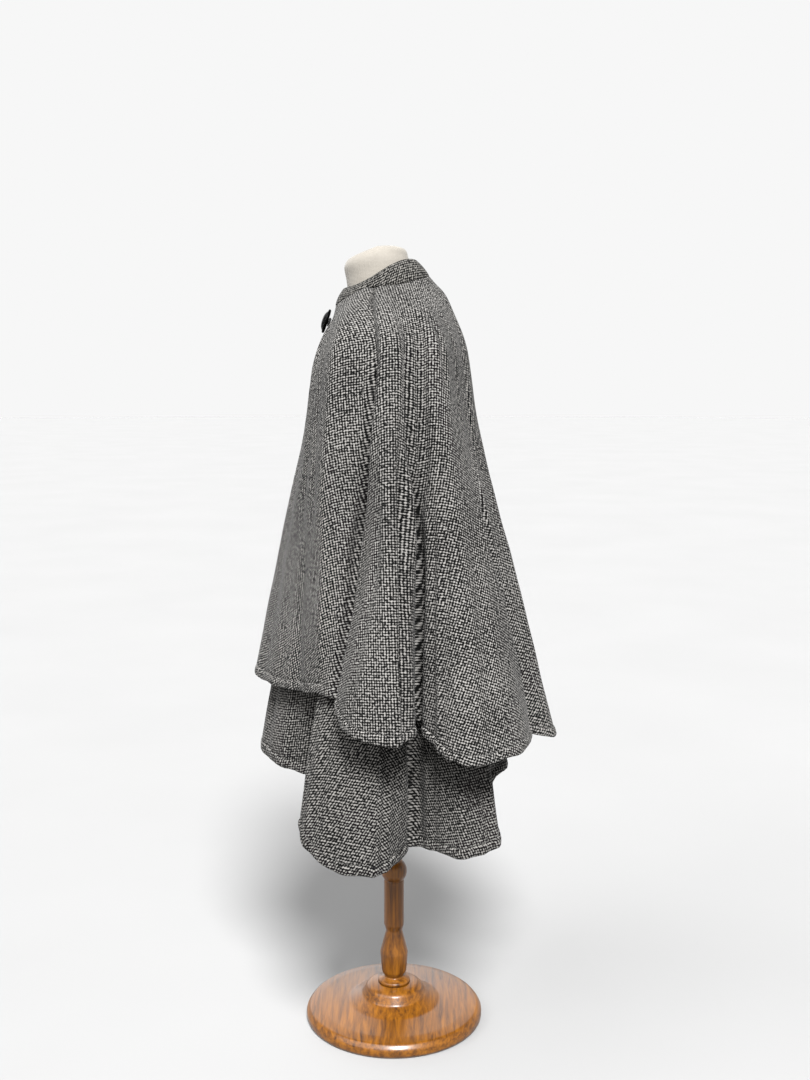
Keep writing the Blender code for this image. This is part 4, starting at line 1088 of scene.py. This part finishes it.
def turned_beech(name, grain_scale):
    """Stained and varnished beech: long brown grain one way of the wood under a satin clear coat."""
    material, tree, shader = new_material(
        name, Roughness=0.42, IOR=1.5, Coat_Weight=0.30, Coat_Roughness=0.22)
    shader.inputs["Specular IOR Level"].default_value = 0.25
    place = add_node(tree, "ShaderNodeTexCoord")
    grain_place = add_node(tree, "ShaderNodeVectorMath", {0: place.outputs["Object"]},
                           {"operation": "MULTIPLY"}, i1=grain_scale)
    grain = add_node(tree, "ShaderNodeTexNoise", {"Vector": grain_place.outputs[0]}, Scale=1.0, Detail=6.0,
                     Roughness=0.6, Distortion=0.4)
    tones = ((0.28, "2e1703"), (0.48, "5a3404"), (0.70, "744708"))
    link_ramp(tree, shader, grain.outputs["Fac"], tones)
    link_bump(tree, shader, grain.outputs["Fac"], 0.08, 0.0004)
    return material


def moulded_button():
    """Black polyester resin, pressed and polished: dark, with soft broken highlights."""
    material, tree, shader = new_material("moulded_resin_button", Roughness=0.4, IOR=1.5)
    shader.inputs["Specular IOR Level"].default_value = 0.04
    tones = ((0.35, "010101"), (0.75, "040404"))
    cloud = link_noise_colour(tree, shader, tones, Scale=160.0, Detail=4.0)
    wear = add_node(tree, "ShaderNodeMapRange", {"Value": cloud.outputs["Fac"]}, To_Min=0.34, To_Max=0.52)
    tree.links.new(wear.outputs[0], shader.inputs["Roughness"])
    return material


def pale_floor():
    """Matt pale studio floor: painted board with a faint unevenness of tone."""
    material, tree, shader = new_material("pale_studio_floor", Roughness=1.0)
    shader.inputs["Specular IOR Level"].default_value = 0.0
    link_noise_colour(tree, shader, ((0.3, "8b8b8b"), (0.7, "8d8d8d")), Scale=1.3, Detail=3.0)
    return material


def build_floor():
    """Round floor, wide enough that its edge melts into the pale surroundings."""
    turn = np.radians(np.arange(96) * 3.75)
    points = np.stack([FLOOR_RADIUS * np.cos(turn), FLOOR_RADIUS * np.sin(turn), 0.0 * turn - 0.0002], -1)
    mesh = bpy.data.meshes.new("studio_floor")
    mesh.from_pydata(points.tolist(), [], [list(range(96))])
    mesh.materials.append(pale_floor())
    floor = bpy.data.objects.new("studio_floor", mesh)
    bpy.context.scene.collection.objects.link(floor)


def soft_light(name, azimuth, elevation, spread, power):
    """Wide soft light from a direction: degrees from the camera's side to the right, and up."""
    lamp = bpy.data.lights.new(name, "SUN")
    lamp.angle = math.radians(spread)
    lamp.energy = power
    light = bpy.data.objects.new(name, lamp)
    turn = math.radians(azimuth)
    rise = math.radians(elevation)
    towards = Vector((math.cos(turn) * math.cos(rise), math.sin(turn) * math.cos(rise), math.sin(rise)))
    light.rotation_euler = (-towards).to_track_quat("-Z", "Y").to_euler()
    bpy.context.scene.collection.objects.link(light)


def build_studio():
    """Pale surroundings that darken overhead, a key light, and weak ones from left and behind."""
    world = bpy.data.worlds.new("pale_studio")
    world.use_nodes = True
    tree = world.node_tree
    place = add_node(tree, "ShaderNodeTexCoord")
    split = add_node(tree, "ShaderNodeSeparateXYZ", {0: place.outputs["Generated"]})
    ramp = add_node(tree, "ShaderNodeValToRGB", {0: split.outputs[2]})
    ramp_colours(ramp, ((0.40, "f7f7f7"), (0.75, "202020")))
    tree.links.new(ramp.outputs["Color"], tree.nodes["Background"].inputs["Color"])
    bpy.context.scene.world = world
    bpy.context.scene.view_settings.view_transform = "Standard"
    soft_light("key_light", 8.0, 48.0, 18.0, 9.8)
    soft_light("left_light", -55.0, 50.0, 50.0, 2.6)
    soft_light("back_light", 195.0, 32.0, 60.0, 1.5)


def build_camera():
    """Camera at the photograph's angle: side on, 2.25 m away and looking 7.3 degrees down."""
    lens = bpy.data.cameras.new("photo_camera")
    lens.sensor_fit = "VERTICAL"
    lens.sensor_height = 36.0
    lens.lens = FOCAL_PIXELS / IMAGE_HEIGHT * 36.0
    pitch = math.atan(HORIZON_PIXELS / FOCAL_PIXELS)
    camera = bpy.data.objects.new("photo_camera", lens)
    camera.location = CAMERA_PLACE
    look = Vector((-math.cos(pitch), 0.0, -math.sin(pitch)))
    camera.rotation_euler = look.to_track_quat("-Z", "Y").to_euler()
    bpy.context.scene.collection.objects.link(camera)
    bpy.context.scene.camera = camera


def build():
    """Dress the form with the cape, and set the studio round it."""
    # The real repeats are near 3.9 mm, and are drawn a seventh coarser so that they show.
    over_wool = wool_cloth("check_wool_over", 0.0045, 0.0044, OVER_TONES, 0.9)
    # The under-cape's wool is a darker copy of the over-cape's: painted shade under the over-cape.
    under_wool_painted_shade = wool_cloth("check_wool_under_painted_shade", 0.0045, 0.0044, UNDER_TONES_PAINTED_SHADE, 0.9)
    # The collar's wool is a darker copy of the over-cape's: painted shade on the collar.
    collar_wool = wool_cloth("check_wool_collar_painted_shade", 0.0044, 0.0043, COLLAR_TONES_PAINTED_SHADE, 0.8)
    thread = spun_thread("hem_thread", "4a4947", "757370")
    build_dress_form(form_linen())
    for cut in CUTS:
        build_panel(cut, over_wool if cut.tier == "over" else under_wool_painted_shade, thread)
    build_collar(collar_wool)
    build_button(moulded_button())
    build_loop(spun_thread("loop_cord_cotton", "010101", "050505"))
    build_post(turned_beech("beech_post", (150.0, 150.0, 9.0)))
    build_base(turned_beech("beech_board", (9.0, 150.0, 150.0)))
    build_floor()
    build_studio()
    build_camera()


build()
